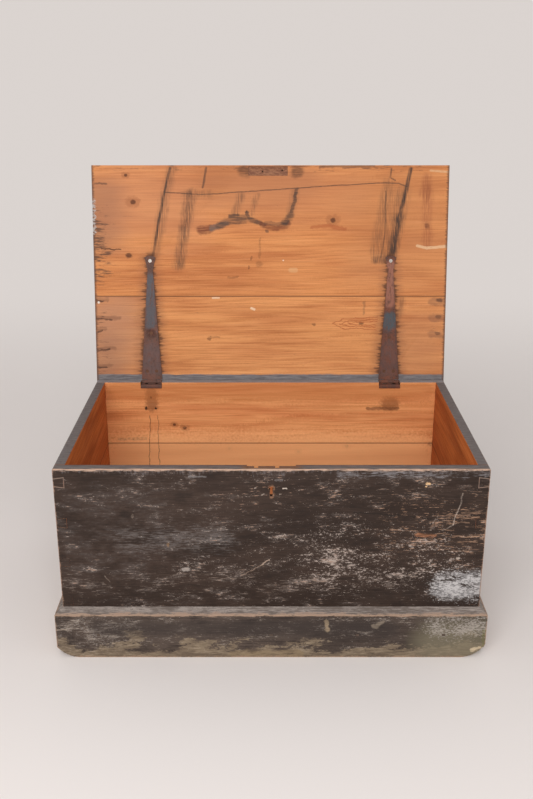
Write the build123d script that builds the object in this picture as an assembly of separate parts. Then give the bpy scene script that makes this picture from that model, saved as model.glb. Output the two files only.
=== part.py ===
from build123d import *
import math
import os

# A dovetailed pine blanket trunk, standing on its plinth with the lid open.
# Millimetres. +X is to the right seen from the front, +Y goes to the back, +Z is up.
# The origin is the middle of the underside of the bottom, on the floor.
# The lid is made closed and is then turned back about the hinge pins until it rests on its stop.

# The carcase: four sides dovetailed together on a boarded bottom
body_width = 889.0
body_depth = 547.0
rim_height = 438.0          # floor to the top of the sides
side_thickness = 22.0
bottom_thickness = 16.0
joint_below_rim = 168.0     # each side is two boards, jointed this far below the rim
edge_wear = 2.5             # rounding of the handled edges round the rim
bottom_board_count = 3

# Dovetails: the front and the back carry the tails, the ends carry the pins
pin_first = 30.0            # rim to the middle of the first pin
pin_pitch = 92.0
pin_count = 5
pin_height_outside = 17.0
pin_height_inside = 23.0

# The plinth planted round the bottom, with a sloping top edge and dovetailed corners
plinth_thickness = 16.0
plinth_height = 105.0       # floor to the outer edge of the slope
plinth_slope_rise = 11.6    # from that edge up to the carcase
plinth_pin_first = 30.0     # floor to the middle of the lower pin
plinth_pin_pitch = 52.0
plinth_pin_count = 2
plinth_pin_outside = 16.0
plinth_pin_inside = 22.0
worn_left_length = 58.0     # wear of the front corners along the floor, and up the corner
worn_left_rise = 26.0
worn_right_length = 60.0
worn_right_rise = 34.0
worn_curve_along = 0.38     # where the hollow of the wear lies, as shares of length and rise
worn_curve_up = 0.27

# The lid: two boards, flush in front, a little wider than the carcase
lid_thickness = 20.0
lid_side_overhang = 2.4
lid_gap = 0.3               # lid above the rim when shut
lid_front_board = 326.0     # width of the board along the front edge
lid_edge_wear = 2.0
open_angle = 100.8
stop_clearance = 0.15       # lid's back edge to the back board when it rests open

# The strap hinges
hinge_from_end = 140.0      # outer face of an end to the middle of its hinge
hinge_width = 53.0
hinge_plate = 2.8
axis_inset = 2.0            # pin centre in front of the outer face of the back
axis_below_lid = 5.0        # pin centre to the lid's underside when shut
barrel_radius = 4.7
pin_radius = 2.25
pin_clearance = 0.05
pin_head_radius = 3.4
pin_head_length = 1.5
pin_head_inset = 0.3        # outer end of the pin's heads inside the edges of the plates
strap_knuckle_length = 24.0
knuckle_gap = 0.5
notch_side_clearance = 0.6
leaf_lip_drop = 5.0         # the leaf's front edge turned down inside the back
leaf_bend_radius = 2.24
strap_neck_from_pin = 286.0
strap_neck_width = 13.0
strap_tip_from_pin = 321.0
strap_head_width = 28.0
strap_head_corner = 4.0

# Screws with countersunk heads, drawn with flat sides so that each has few faces
screw_sides = 10
screw_head_radius = 4.4
screw_head_depth = 2.4
screw_shank_radius = 2.2
screw_length = 17.0
screw_clearance = 0.1
strap_root_screw_from_pin = 27.0
strap_root_screw_spacing = 24.0
strap_middle_screw_from_pin = (125.0, 114.0)   # left, right
strap_tip_screw_from_pin = 308.5
leaf_screw_spacing = 26.0
leaf_screw_from_back = 10.5

# Cut nails with rectangular heads
nail_shank_root = 3.4
nail_shank_tip = 2.0
nail_head_length = 7.0
nail_head_width = 5.0
nail_head_depth = 1.6
bottom_nail_length = 46.0
plinth_nail_length = 34.0
plinth_nail_height = 56.0
bottom_nail_count = 6       # along the front, and as many along the back
plinth_nail_count = 5       # along the front, and as many along the back
plinth_end_nail_count = 3   # along each end
nail_from_corner = 75.0

# The lock and its keeper are gone, and their cuttings are left
lock_length = 100.0         # shallow rebate in the rim where its plate lay
lock_rebate_depth = 2.5
lock_rebate_from_front = 5.0
lock_slot_places = (-31.0, 12.0)
lock_slot_width = 8.5
lock_slot_from_front = 13.0
lock_pocket_top = 13.0      # pocket for the case in the inner face, below the rim
lock_pocket_height = 62.0
lock_pocket_wood = 9.0      # wood left between the pocket and the front face
keyhole_below_rim = 43.0    # to the middle of the round part
keyhole_radius = 4.3
keyhole_slot_width = 5.2
keyhole_slot_drop = 17.0
keeper_left = -55.0
keeper_length = 98.0
keeper_from_edge = 2.5
keeper_width = 23.0
keeper_depth = 2.0
keeper_hole_places = ((-19.6, 15.6), (29.3, 12.5))   # across, from the front edge
keeper_hole_radius = 2.2
keeper_hole_depth = 9.0

# Places worked out from the sizes above
half_width = body_width / 2
half_depth = body_depth / 2
carcase_floor = bottom_thickness
joint_height = rim_height - joint_below_rim
inner_half_depth = half_depth - side_thickness
inner_half_width = half_width - side_thickness
plinth_half_width = half_width + plinth_thickness
plinth_half_depth = half_depth + plinth_thickness
lid_underside = rim_height + lid_gap
axis_y = half_depth - axis_inset
axis_z = lid_underside - axis_below_lid
lean = math.radians(open_angle)
stop_from_pin = (axis_below_lid * math.sin(lean) - axis_inset - stop_clearance) / -math.cos(lean)
lid_back = axis_y + stop_from_pin
lid_half_width = half_width + lid_side_overhang
lid_joint_y = -half_depth + lid_front_board
notch_floor = axis_z - axis_below_lid
barrel_length = hinge_width - 2 * (pin_head_length + pin_head_inset)
hinge_middles = (-half_width + hinge_from_end, half_width - hinge_from_end)
beyond = 5.0                # how far cutting solids run past the wood
same_place = 0.1            # an edge this near to a place lies on it


def block(x0, x1, y0, y1, z0, z1):
    """A box from its low and high corners."""
    middle = ((x0 + x1) / 2, (y0 + y1) / 2, (z0 + z1) / 2)
    return Pos(*middle) * Box(x1 - x0, y1 - y0, z1 - z0)


def along_y(points_xz, y0, y1):
    """A prism whose outline lies in X and Z and which runs from y0 to y1."""
    face = Face(Wire.make_polygon([Vector(x, y0, z) for x, z in points_xz]))
    return Solid.extrude(face, Vector(0, y1 - y0, 0))


def pin_prism(side, x_out, x_in, z_mid, outside, inside, y0, y1):
    """One dovetail pin, narrow at the outer end x_out and wide at x_in."""
    points = [
        (side * x_out, z_mid - outside / 2),
        (side * x_in, z_mid - inside / 2),
        (side * x_in, z_mid + inside / 2),
        (side * x_out, z_mid + outside / 2),
    ]
    return along_y(points, y0, y1)


def carcase_pins(side, end, z0, z1):
    """The pins of one corner between two heights. side is -1 left, end is -1 front."""
    y0, y1 = sorted((end * inner_half_depth, end * half_depth))
    pins = []
    for number in range(pin_count):
        z_mid = rim_height - pin_first - number * pin_pitch
        if z0 < z_mid < z1:
            pins.append(pin_prism(side, half_width, inner_half_width, z_mid,
                                  pin_height_outside, pin_height_inside, y0, y1))
    return pins


def cut(shape, tools):
    """The shape without the tools that reach it."""
    for tool in tools:
        shape = shape - tool
    return shape


def wear(shape, edges, radius):
    """Round the given edges of a board."""
    return fillet(edges, radius) if edges else shape


def long_board(end, z0, z1):
    """A front or back board with its tails. end is -1 for the front."""
    y0, y1 = sorted((end * inner_half_depth, end * half_depth))
    board = block(-half_width, half_width, y0, y1, z0, z1)
    if z1 == rim_height:
        top = board.faces().sort_by(Axis.Z)[-1].edges()
        outer = [e for e in top if abs(e.center().Y - end * half_depth) < same_place]
        ends = [e for e in top if abs(abs(e.center().X) - half_width) < same_place]
        board = wear(board, outer + ends, edge_wear)
    for side in (-1, 1):
        board = cut(board, carcase_pins(side, end, z0, z1))
    return board


def end_board(side, z0, z1):
    """A left or right board with its pins. side is -1 for the left."""
    x0, x1 = sorted((side * inner_half_width, side * half_width))
    board = block(x0, x1, -inner_half_depth, inner_half_depth, z0, z1)
    if z1 == rim_height:
        top = board.faces().sort_by(Axis.Z)[-1].edges()
        outer = [e for e in top if abs(e.center().X - side * half_width) < same_place]
        board = wear(board, outer, edge_wear)
    for end in (-1, 1):
        for pin in carcase_pins(side, end, z0, z1):
            board = board + pin
    return board


def nail(length):
    """A cut nail along +Z: its head's top is at the origin, and its point is up."""
    head = Pos(0, 0, nail_head_depth / 2) * Box(nail_head_length, nail_head_width, nail_head_depth)
    shank = loft([
        Pos(0, 0, nail_head_depth) * Rectangle(nail_shank_root, nail_shank_root),
        Pos(0, 0, length) * Rectangle(nail_shank_tip, nail_shank_tip),
    ])
    return head + shank


def spread(count, reach):
    """Evenly spaced places from -reach to reach."""
    return [-reach + 2 * reach * i / (count - 1) for i in range(count)]


def bottom_nail_places():
    """Where the bottom is nailed up into the sides."""
    y_row = half_depth - side_thickness / 2
    x_row = half_width - side_thickness / 2
    places = []
    for x in spread(bottom_nail_count, half_width - nail_from_corner):
        places += [(x, -y_row), (x, y_row)]
    board_depth = body_depth / bottom_board_count
    for y in spread(bottom_board_count, half_depth - board_depth / 2):
        places += [(-x_row, y), (x_row, y)]
    return places


def plinth_nails():
    """Nails through the plinth into the carcase, all round."""
    nails = []
    made = nail(plinth_nail_length)
    for x in spread(plinth_nail_count, half_width - nail_from_corner):
        nails.append(Pos(x, -plinth_half_depth, plinth_nail_height) * Rot(-90, 0, 0) * made)
        nails.append(Pos(x, plinth_half_depth, plinth_nail_height) * Rot(90, 0, 0) * made)
    for y in spread(plinth_end_nail_count, half_depth - nail_from_corner):
        nails.append(Pos(-plinth_half_width, y, plinth_nail_height) * Rot(0, 90, 0) * made)
        nails.append(Pos(plinth_half_width, y, plinth_nail_height) * Rot(0, -90, 0) * made)
    return nails


def plinth_ring():
    """The whole plinth in one: upright sides, and a slope up to the carcase on all four."""
    upright = block(-plinth_half_width, plinth_half_width,
                    -plinth_half_depth, plinth_half_depth, 0, plinth_height)
    slope = loft([
        Pos(0, 0, plinth_height) * Rectangle(2 * plinth_half_width, 2 * plinth_half_depth),
        Pos(0, 0, plinth_height + plinth_slope_rise) * Rectangle(body_width, body_depth),
    ])
    inside = block(-half_width, half_width, -half_depth, half_depth, -beyond, rim_height)
    return upright + slope - inside


def plinth_pins(side, end):
    """The pins of one plinth corner."""
    y0, y1 = sorted((end * half_depth, end * plinth_half_depth))
    pins = []
    for number in range(plinth_pin_count):
        z_mid = plinth_pin_first + number * plinth_pin_pitch
        pins.append(pin_prism(side, plinth_half_width, half_width, z_mid,
                              plinth_pin_outside, plinth_pin_inside, y0, y1))
    return pins


def worn_corner(side, length, rise):
    """What wear has taken off one front corner at the floor."""
    x_corner, y_corner = side * plinth_half_width, -plinth_half_depth

    def scooped(corner, inward, place):
        start, finish = place(corner, rise), place(corner + inward * length, 0)
        middle = place(corner + inward * length * worn_curve_along, rise * worn_curve_up)
        low_out = place(corner - inward * beyond, -beyond)
        high_out = place(corner - inward * beyond, rise)
        low_in = place(corner + inward * length, -beyond)
        return Face(Wire([
            ThreePointArc(start, middle, finish).edge(), Line(finish, low_in).edge(),
            Line(low_in, low_out).edge(), Line(low_out, high_out).edge(), Line(high_out, start).edge(),
        ]))

    seen_from_front = scooped(x_corner, -side, lambda x, z: (x, y_corner - beyond, z))
    seen_from_side = scooped(y_corner, 1, lambda y, z: (x_corner + side * beyond, y, z))
    across = Solid.extrude(seen_from_front, Vector(0, length + 2 * beyond, 0))
    back_in = Solid.extrude(seen_from_side, Vector(-side * (length + 2 * beyond), 0, 0))
    return across & back_in


def plinth_board_x(end, ring, worn):
    """The front or back board of the plinth, with the tails."""
    y0, y1 = sorted((end * half_depth, end * (plinth_half_depth + beyond)))
    reach = plinth_half_width + beyond
    board = ring & block(-reach, reach, y0, y1, -beyond, rim_height)
    for side in (-1, 1):
        board = cut(board, plinth_pins(side, end))
    return cut(board, worn)


def plinth_board_y(side, ring, worn):
    """The left or right board of the plinth, with the pins."""
    x0, x1 = sorted((side * half_width, side * (plinth_half_width + beyond)))
    board = ring & block(x0, x1, -half_depth, half_depth, -beyond, rim_height)
    for end in (-1, 1):
        for pin in plinth_pins(side, end):
            board = board + (ring & pin)
    return cut(board, worn)


def lock_cuttings():
    """The rebate, slots, pocket and keyhole left in the front by the lock."""
    front, inner = -half_depth, -inner_half_depth
    half = lock_length / 2
    tools = [block(-half, half, front + lock_rebate_from_front, inner + beyond,
                   rim_height - lock_rebate_depth, rim_height + beyond)]
    for x in lock_slot_places:
        tools.append(block(x - lock_slot_width / 2, x + lock_slot_width / 2,
                           front + lock_slot_from_front, inner + beyond,
                           rim_height - lock_pocket_top, rim_height + beyond))
    tools.append(block(-half, half, front + lock_pocket_wood, inner + beyond,
                       rim_height - lock_pocket_top - lock_pocket_height,
                       rim_height - lock_pocket_top))
    z_eye = rim_height - keyhole_below_rim
    eye = Pos(0, front, z_eye) * Rot(90, 0, 0) * Cylinder(keyhole_radius, 2 * side_thickness)
    slot = block(-keyhole_slot_width / 2, keyhole_slot_width / 2,
                 front - beyond, inner, z_eye - keyhole_slot_drop, z_eye)
    return tools + [eye, slot]


def hinge_notch(x_mid):
    """The notch in the back's rim that takes one hinge."""
    half = hinge_width / 2 + notch_side_clearance
    return block(x_mid - half, x_mid + half, inner_half_depth - beyond, half_depth + beyond,
                 notch_floor, rim_height + beyond)


def barrel(x0, x1):
    """A stretch of the hinge barrel with the pin's hole through it."""
    outside = Cylinder(barrel_radius, x1 - x0) - Cylinder(pin_radius + pin_clearance, x1 - x0)
    return Pos((x0 + x1) / 2, axis_y, axis_z) * Rot(0, 90, 0) * outside


def pin_bore(x_mid):
    """What keeps a plate clear of the pin."""
    bore = Cylinder(pin_radius + pin_clearance, hinge_width + 2 * beyond)
    return Pos(x_mid, axis_y, axis_z) * Rot(0, 90, 0) * bore


def countersunk(clearance):
    """A countersunk rod along +Z, larger all round by a clearance: its head is at the origin."""
    face = RegularPolygon(screw_head_radius + clearance, screw_sides)
    neck = Pos(0, 0, screw_head_depth) * RegularPolygon(screw_shank_radius + clearance, screw_sides)
    return loft([face, neck]) + extrude(neck, screw_length - screw_head_depth)


def screw():
    """A screw along +Z."""
    return countersunk(0)


def screw_hole():
    """The hole for a screw, a little larger than the screw."""
    return countersunk(screw_clearance)


def strap_outline(x_mid):
    """The strap's outline, seen from below: a long taper, a neck and a fanned head."""
    half_root, half_neck, half_head = hinge_width / 2, strap_neck_width / 2, strap_head_width / 2
    neck_y = axis_y - strap_neck_from_pin
    shoulder_y = axis_y - strap_tip_from_pin + strap_head_corner
    tip_y = axis_y - strap_tip_from_pin
    left = [(x_mid - half_root, axis_y), (x_mid - half_neck, neck_y), (x_mid - half_head, shoulder_y)]
    right = [(x_mid + half_head, shoulder_y), (x_mid + half_neck, neck_y), (x_mid + half_root, axis_y)]
    top = ThreePointArc(left[-1], (x_mid, tip_y), right[0])
    edges = [Line(a, b).edge() for a, b in zip(left, left[1:])] + [top.edge()]
    edges += [Line(a, b).edge() for a, b in zip(right, right[1:])] + [Line(right[-1], left[0]).edge()]
    return Face(Wire(edges))


def strap_screw_places(index):
    """Across and back from the pin, for the left (0) or right (1) strap, without the tip."""
    pair = strap_root_screw_spacing / 2
    return [(-pair, strap_root_screw_from_pin), (pair, strap_root_screw_from_pin),
            (0, strap_middle_screw_from_pin[index])]


def strap_screw_spots(index, x_mid, places):
    """Places of a strap's screws in the closed lid, at the strap's lower face."""
    low = lid_underside - hinge_plate
    return [Pos(x_mid + across, axis_y - back, low) for across, back in places]


def hinge_strap(x_mid, spots):
    """The moving strap: a tapered plate under the lid and one knuckle."""
    low = lid_underside - hinge_plate
    flat = Pos(0, 0, low) * strap_outline(x_mid)
    plate = Solid.extrude(flat.face(), Vector(0, 0, hinge_plate))
    half = strap_knuckle_length / 2
    room = knuckle_gap + barrel_radius + knuckle_gap
    for side in (-1, 1):
        x0, x1 = sorted((x_mid + side * (half + knuckle_gap / 2), x_mid + side * hinge_width))
        plate = plate - block(x0, x1, axis_y - room, axis_y + beyond, low - beyond, lid_underside)
    strap = plate + barrel(x_mid - half, x_mid + half) - pin_bore(x_mid)
    return cut(strap, [spot * screw_hole() for spot in spots])


def leaf_screw_spots(x_mid):
    """Places of a leaf's screws, on the leaf's upper face."""
    top = notch_floor + hinge_plate
    pair = leaf_screw_spacing / 2
    return [Pos(x_mid + across, half_depth - leaf_screw_from_back, top) * Rot(180, 0, 0)
            for across in (-pair, pair)]


def hinge_leaf(x_mid):
    """The fixed leaf: it lies in the notch, turns down inside and carries two knuckles."""
    half = hinge_width / 2
    top = notch_floor + hinge_plate
    lip_y = inner_half_depth - hinge_plate
    leaf = block(x_mid - half, x_mid + half, lip_y, axis_y, notch_floor, top)
    lip = block(x_mid - half, x_mid + half, lip_y, inner_half_depth,
                notch_floor - leaf_lip_drop, top)
    leaf = leaf + lip
    bend = [e for e in leaf.edges() if abs(e.center().Y - lip_y) < same_place
            and abs(e.center().Z - top) < same_place]
    leaf = fillet(bend, leaf_bend_radius)
    half_gap = strap_knuckle_length / 2 + knuckle_gap
    room = knuckle_gap + barrel_radius + knuckle_gap
    for x0, x1 in ((-half_gap, half_gap), (-half - beyond, -barrel_length / 2),
                   (barrel_length / 2, half + beyond)):
        leaf = leaf - block(x_mid + x0, x_mid + x1, axis_y - room, axis_y + beyond,
                            notch_floor - beyond, top + beyond)
    for side in (-1, 1):
        x0, x1 = sorted((x_mid + side * half_gap, x_mid + side * barrel_length / 2))
        leaf = leaf + barrel(x0, x1)
    leaf = leaf - pin_bore(x_mid)
    return cut(leaf, [spot * screw_hole() for spot in leaf_screw_spots(x_mid)])


def hinge_pin(x_mid):
    """The pin, with a head hammered over at each end."""
    rod = Cylinder(pin_radius, barrel_length)
    for side in (-1, 1):
        rod = rod + Pos(0, 0, side * (barrel_length + pin_head_length) / 2) * Cylinder(
            pin_head_radius, pin_head_length)
    return Pos(x_mid, axis_y, axis_z) * Rot(0, 90, 0) * rod


def lid_board(y0, y1, tools):
    """One board of the closed lid, worn along its outer edges."""
    board = block(-lid_half_width, lid_half_width, y0, y1, lid_underside, lid_underside + lid_thickness)
    top = board.faces().sort_by(Axis.Z)[-1].edges()
    outer = [e for e in top if abs(e.center().Y - lid_joint_y) > same_place]
    return cut(fillet(outer, lid_edge_wear), tools)


def keeper_cuttings():
    """The recess and the two screw holes that the keeper left under the lid's front edge."""
    y0 = -half_depth + keeper_from_edge
    tools = [block(keeper_left, keeper_left + keeper_length, y0, y0 + keeper_width,
                   lid_underside - beyond, lid_underside + keeper_depth)]
    depth = keeper_depth + keeper_hole_depth + beyond
    for across, back in keeper_hole_places:
        tools.append(Pos(across, -half_depth + back, lid_underside - beyond + depth / 2)
                     * Cylinder(keeper_hole_radius, depth))
    return tools


def opened(shape):
    """A closed lid piece turned back to where the lid rests."""
    hinge_line = Axis((0, axis_y, axis_z), (1, 0, 0))
    return shape.rotate(hinge_line, -open_angle)


def save(name, shape):
    """Write one node. A list is a group of separate solids."""
    if isinstance(shape, (list, tuple)):
        shape = Compound(children=list(shape))
    export_step(shape, os.path.join("parts", name + ".step"))


def main():
    os.makedirs("parts", exist_ok=True)
    bottom_nails = [Pos(x, y, 0) * nail(bottom_nail_length) for x, y in bottom_nail_places()]
    around = plinth_nails()
    worn = [worn_corner(-1, worn_left_length, worn_left_rise),
            worn_corner(1, worn_right_length, worn_right_rise)]

    leaf_screws = []
    for x_mid in hinge_middles:
        leaf_screws += [spot * screw() for spot in leaf_screw_spots(x_mid)]
    leaf_holes = []
    for x_mid in hinge_middles:
        leaf_holes += [spot * screw_hole() for spot in leaf_screw_spots(x_mid)]

    save("front_board_upper", cut(long_board(-1, joint_height, rim_height), lock_cuttings()))
    save("front_board_lower", cut(long_board(-1, carcase_floor, joint_height), bottom_nails + around))
    notches = [hinge_notch(x_mid) for x_mid in hinge_middles]
    save("back_board_upper", cut(long_board(1, joint_height, rim_height), notches + leaf_holes))
    save("back_board_lower", cut(long_board(1, carcase_floor, joint_height), bottom_nails + around))
    for side, name in ((-1, "left"), (1, "right")):
        save(name + "_end_upper", end_board(side, joint_height, rim_height))
        save(name + "_end_lower", cut(end_board(side, carcase_floor, joint_height), bottom_nails + around))

    board_depth = body_depth / bottom_board_count
    bottom_names = ("bottom_board_front", "bottom_board_middle", "bottom_board_back")
    for number, name in enumerate(bottom_names):
        y0 = -half_depth + number * board_depth
        board = block(-half_width, half_width, y0, y0 + board_depth, 0, bottom_thickness)
        save(name, cut(board, bottom_nails + worn))

    ring = plinth_ring()
    save("plinth_front", cut(plinth_board_x(-1, ring, worn), around))
    save("plinth_back", cut(plinth_board_x(1, ring, []), around))
    save("plinth_left", cut(plinth_board_y(-1, ring, worn), around))
    save("plinth_right", cut(plinth_board_y(1, ring, worn), around))
    save("bottom_nails", bottom_nails)
    save("plinth_nails", around)
    save("leaf_screws", leaf_screws)

    strap_screws = []
    tip_screws = []
    lid_holes = []
    for index, (x_mid, name) in enumerate(zip(hinge_middles, ("left", "right"))):
        spots = strap_screw_spots(index, x_mid, strap_screw_places(index))
        tip_spots = strap_screw_spots(index, x_mid, [(0, strap_tip_screw_from_pin)])
        strap_screws += [opened(spot * screw()) for spot in spots]
        tip_screws += [opened(spot * screw()) for spot in tip_spots]
        lid_holes += [spot * screw_hole() for spot in spots + tip_spots]
        save("hinge_strap_" + name, opened(hinge_strap(x_mid, spots + tip_spots)))
        save("hinge_leaf_" + name, hinge_leaf(x_mid))
        save("hinge_pin_" + name, hinge_pin(x_mid))
    save("strap_screws", strap_screws)
    save("tip_screws", tip_screws)

    front = lid_board(-half_depth, lid_joint_y, lid_holes + keeper_cuttings())
    back = lid_board(lid_joint_y, lid_back, lid_holes)
    save("lid_board_front", opened(front))
    save("lid_board_back", opened(back))


main()
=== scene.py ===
"""A pine blanket trunk with its lid open: worn paint outside, bare wood inside, rusted hinges."""

import math

import bpy
from bpy.props import (FloatProperty, FloatVectorProperty, IntProperty, PointerProperty,
                       StringProperty)
from mathutils import Matrix, Vector


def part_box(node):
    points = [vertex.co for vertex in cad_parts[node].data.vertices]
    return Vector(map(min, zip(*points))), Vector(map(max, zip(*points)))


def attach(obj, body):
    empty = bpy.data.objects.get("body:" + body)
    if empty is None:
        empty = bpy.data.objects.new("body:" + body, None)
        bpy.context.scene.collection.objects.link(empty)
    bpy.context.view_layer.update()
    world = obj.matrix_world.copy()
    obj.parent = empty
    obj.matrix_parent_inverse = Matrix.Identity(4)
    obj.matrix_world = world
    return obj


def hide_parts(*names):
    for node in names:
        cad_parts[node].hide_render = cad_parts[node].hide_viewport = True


bl_info = {
    "name": "Wooden trunk",
    "version": (1, 0, 0),
    "blender": (4, 5, 0),
    "location": "View3D > Sidebar > Trunk",
    "description": "Dresses a dovetailed pine trunk with worn paint, bare pine and rusted iron",
    "category": "Object",
}

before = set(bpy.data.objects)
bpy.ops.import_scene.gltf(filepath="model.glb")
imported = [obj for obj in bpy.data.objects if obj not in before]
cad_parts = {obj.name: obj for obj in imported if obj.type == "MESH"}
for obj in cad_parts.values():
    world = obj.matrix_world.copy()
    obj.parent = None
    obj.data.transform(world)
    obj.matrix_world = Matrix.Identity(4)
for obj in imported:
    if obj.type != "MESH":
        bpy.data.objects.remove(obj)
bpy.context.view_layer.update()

MM = 0.001

# Places read from the frame, in metres
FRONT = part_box("front_board_upper")
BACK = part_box("back_board_upper")
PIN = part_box("hinge_pin_right")
RIM_Z = FRONT[1].z
FRONT_Y = FRONT[0].y
BACK_Y = BACK[1].y
HALF_WIDTH = FRONT[1].x
BOARD = FRONT[1].y - FRONT[0].y
BOARD_JOINT_Z = FRONT[0].z
PIN_Y = (PIN[0].y + PIN[1].y) / 2
PIN_Z = (PIN[0].z + PIN[1].z) / 2
HINGE_X = (PIN[0].x + PIN[1].x) / 2

# The lid rests open at this angle, and its underside lies this far above the pins when shut
LID_ANGLE = math.radians(100.8)
LID_UNDER = 5 * MM
LID_JOINT = 219 * MM        # pins to the joint between the lid's boards
LID_REACH = 545 * MM        # pins to the lid's front edge
LID_THICKNESS = 20 * MM
LID_SPLIT = 95 * MM         # where the front board's underside passes to a second material
PLINTH_TOP = 105 * MM       # floor to the plinth's outer edge, under its slope
PLINTH_THICKNESS = 16 * MM
STRAP_ROOT = 26.5 * MM      # half the strap's width at the pins
STRAP_TAPER = 0.07          # what it loses in half width for each unit of length
STRAP_TIP = 321 * MM

# Directions that lay a board's surface flat: X along it, Y across it, Z out of it
FLAT_FRONT = (math.radians(90), 0, 0)
FLAT_END = (math.radians(90), 0, math.radians(90))
LEVEL = (0, 0, 0)

WELD = 0.01 * MM            # points of a CAD node nearer than this are one point
FLAT = math.radians(0.5)    # faces that turn by less than this are one face
SHARP = math.radians(35)    # edges that turn by more than this are eased
SMOOTH = math.radians(25)   # faces that turn by less than this are shaded as one
OUTER = 3 * MM              # a face this near to the outside is an outer face
RIM_DEPTH = 4 * MM          # a level face this near to the top is the rim
SCREW_END = 0.5 * MM        # points this near to a plain screw's last one are its flat end
HEAD_DEPTH = 2.4 * MM       # a screw's countersunk cone
FIRST_TURN = 25             # how far the first screw of a set is turned in, in degrees
NEXT_TURN = 50              # and each one after it

RING_SCALE = 38.0           # growth rings about 8 mm apart
WOOD_SHEEN = 0.22           # dry wood, old paint and rust shine less than a new surface
METAL_SHEEN = 0.5

# The pale sheet behind the trunk, and the lamp
SHEET_SIZE = 24.0
SHEET_HEIGHT = 9.0
SHEET_STEPS = 24            # across its curve
FAR_SHEET_COLOR = "ddd6d2"  # as the lamp would light it, where it runs back
FAR_FROM, FAR_TO = 0.4, 3.0     # where that colour sets in, and where it has all its strength
FAR_STRENGTH = 0.9
LAMP_SIZE = 2.6, 1.8

# Colours of the marks under the lid
DARK = "57301d"
SOOT = "43342d"
RUST = "6b3420"
GREY = "6f6157"
PALE = "ecc9a6"
NAIL_STAIN = "3a231a"
NAIL_RUST = "6a4533"


def linear(text):
    """A colour written as six hexadecimal digits, as linear values."""
    values = [int(text[i:i + 2], 16) / 255 for i in (0, 2, 4)]
    return tuple(v / 12.92 if v <= 0.04045 else ((v + 0.055) / 1.055) ** 2.4
                 for v in values) + (1.0,)


# What add makes: the node's type and fixed settings, its inputs in the order in which add takes
# their values, and the outputs that add returns
KINDS = {
    "coordinates": ("ShaderNodeTexCoord", {}, (), ("Object",)),
    "place": ("ShaderNodeMapping", {"vector_type": "TEXTURE"},
              ("Vector", "Location", "Rotation", "Scale"), ("Vector",)),
    "split": ("ShaderNodeSeparateXYZ", {}, ("Vector",), ("X", "Y", "Z")),
    "join": ("ShaderNodeCombineXYZ", {}, ("X", "Y", "Z"), ("Vector",)),
    "noise": ("ShaderNodeTexNoise", {}, ("Vector", "Scale", "Detail", "Roughness"), (0,)),
    "drift": ("ShaderNodeTexNoise", {}, ("Vector", "Scale", "Detail", "Roughness"), ("Color",)),
    "rings": ("ShaderNodeTexWave",
              {"wave_type": "RINGS", "rings_direction": "X", "wave_profile": "SAW"},
              ("Vector", "Scale", "Distortion", "Detail", "Detail Scale", "Detail Roughness"),
              (0,)),
    "step": ("ShaderNodeMapRange", {"interpolation_type": "SMOOTHSTEP"},
             ("Value", "From Min", "From Max", "To Min", "To Max"), (0,)),
    "mix": ("ShaderNodeMix", {"data_type": "RGBA"}, (0, 6, 7), (2,)),
    "bump": ("ShaderNodeBump", {}, ("Height", "Distance", "Strength"), ("Normal",)),
    "surface": ("ShaderNodeBsdfPrincipled", {},
                ("Base Color", "Roughness", "Metallic", "Specular IOR Level", "Normal"), (0,)),
    "camera_ray": ("ShaderNodeLightPath", {}, (), ("Is Camera Ray",)),
    "glow": ("ShaderNodeEmission", {}, ("Color", "Strength"), (0,)),
    "either": ("ShaderNodeMixShader", {}, (0, 1, 2), (0,)),
    "output": ("ShaderNodeOutputMaterial", {}, ("Surface",), ()),
}
for sum_name in ("ADD", "SUBTRACT", "MULTIPLY", "MULTIPLY_ADD", "MAXIMUM", "ABSOLUTE"):
    KINDS[sum_name.lower()] = ("ShaderNodeMath", {"operation": sum_name}, (0, 1, 2), (0,))
for sum_name, result in (("MINIMUM", 0), ("MAXIMUM", 0), ("MULTIPLY_ADD", 0),
                         ("DISTANCE", "Value")):
    KINDS["vector_" + sum_name.lower()] = ("ShaderNodeVectorMath", {"operation": sum_name},
                                           (0, 1, 2), (result,))


def add(tree, kind, *values, **settings):
    """Add a node of a kind with its settings, set or link its inputs in order, and return the
    output that is used, or a list when there are several."""
    type_name, fixed, inputs, outputs = KINDS[kind]
    made = tree.nodes.new(type_name)
    for name, value in {**fixed, **settings}.items():
        setattr(made, name, value)
    for name, value in zip(inputs, values):
        if isinstance(value, bpy.types.NodeSocket):
            tree.links.new(value, made.inputs[name])
        else:
            made.inputs[name].default_value = value
    used = [made.outputs[name] for name in outputs]
    return used[0] if len(used) == 1 else used


def new_material(name):
    """An empty material's tree, with the object's own coordinates."""
    material = bpy.data.materials.new(name)
    material.use_nodes = True
    tree = material.node_tree
    tree.nodes.clear()
    return material, tree, add(tree, "coordinates")


def finish_material(tree, color, roughness, height=None, depth=0.3 * MM, metallic=0.0):
    """Close a material: colour, roughness and a bump whose height runs from 0 to depth."""
    values = [color, roughness, metallic, METAL_SHEEN if metallic else WOOD_SHEEN]
    if height is not None:
        values.append(add(tree, "bump", height, depth, 1.0))
    add(tree, "output", add(tree, "surface", *values))


def speckle(tree, vector, size, stretch=(1, 1, 1), detail=3.0, rough=0.55, shift=(0, 0, 0)):
    """A random pattern whose features are about size across, stretched along each direction."""
    scale = tuple(size * along for along in stretch)
    return add(tree, "noise", add(tree, "place", vector, shift, (0, 0, 0), scale), 1.0, detail,
               rough)


def stroke(start, end, width):
    """Centre, half size and turn of a line's patch, from its two ends, in millimetres."""
    run = Vector(end) - Vector(start)
    centre = (Vector(start) + Vector(end)) / 2
    return tuple(centre), (run.length / 2 + width / 2, width / 2), math.atan2(run.y, run.x)


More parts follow.
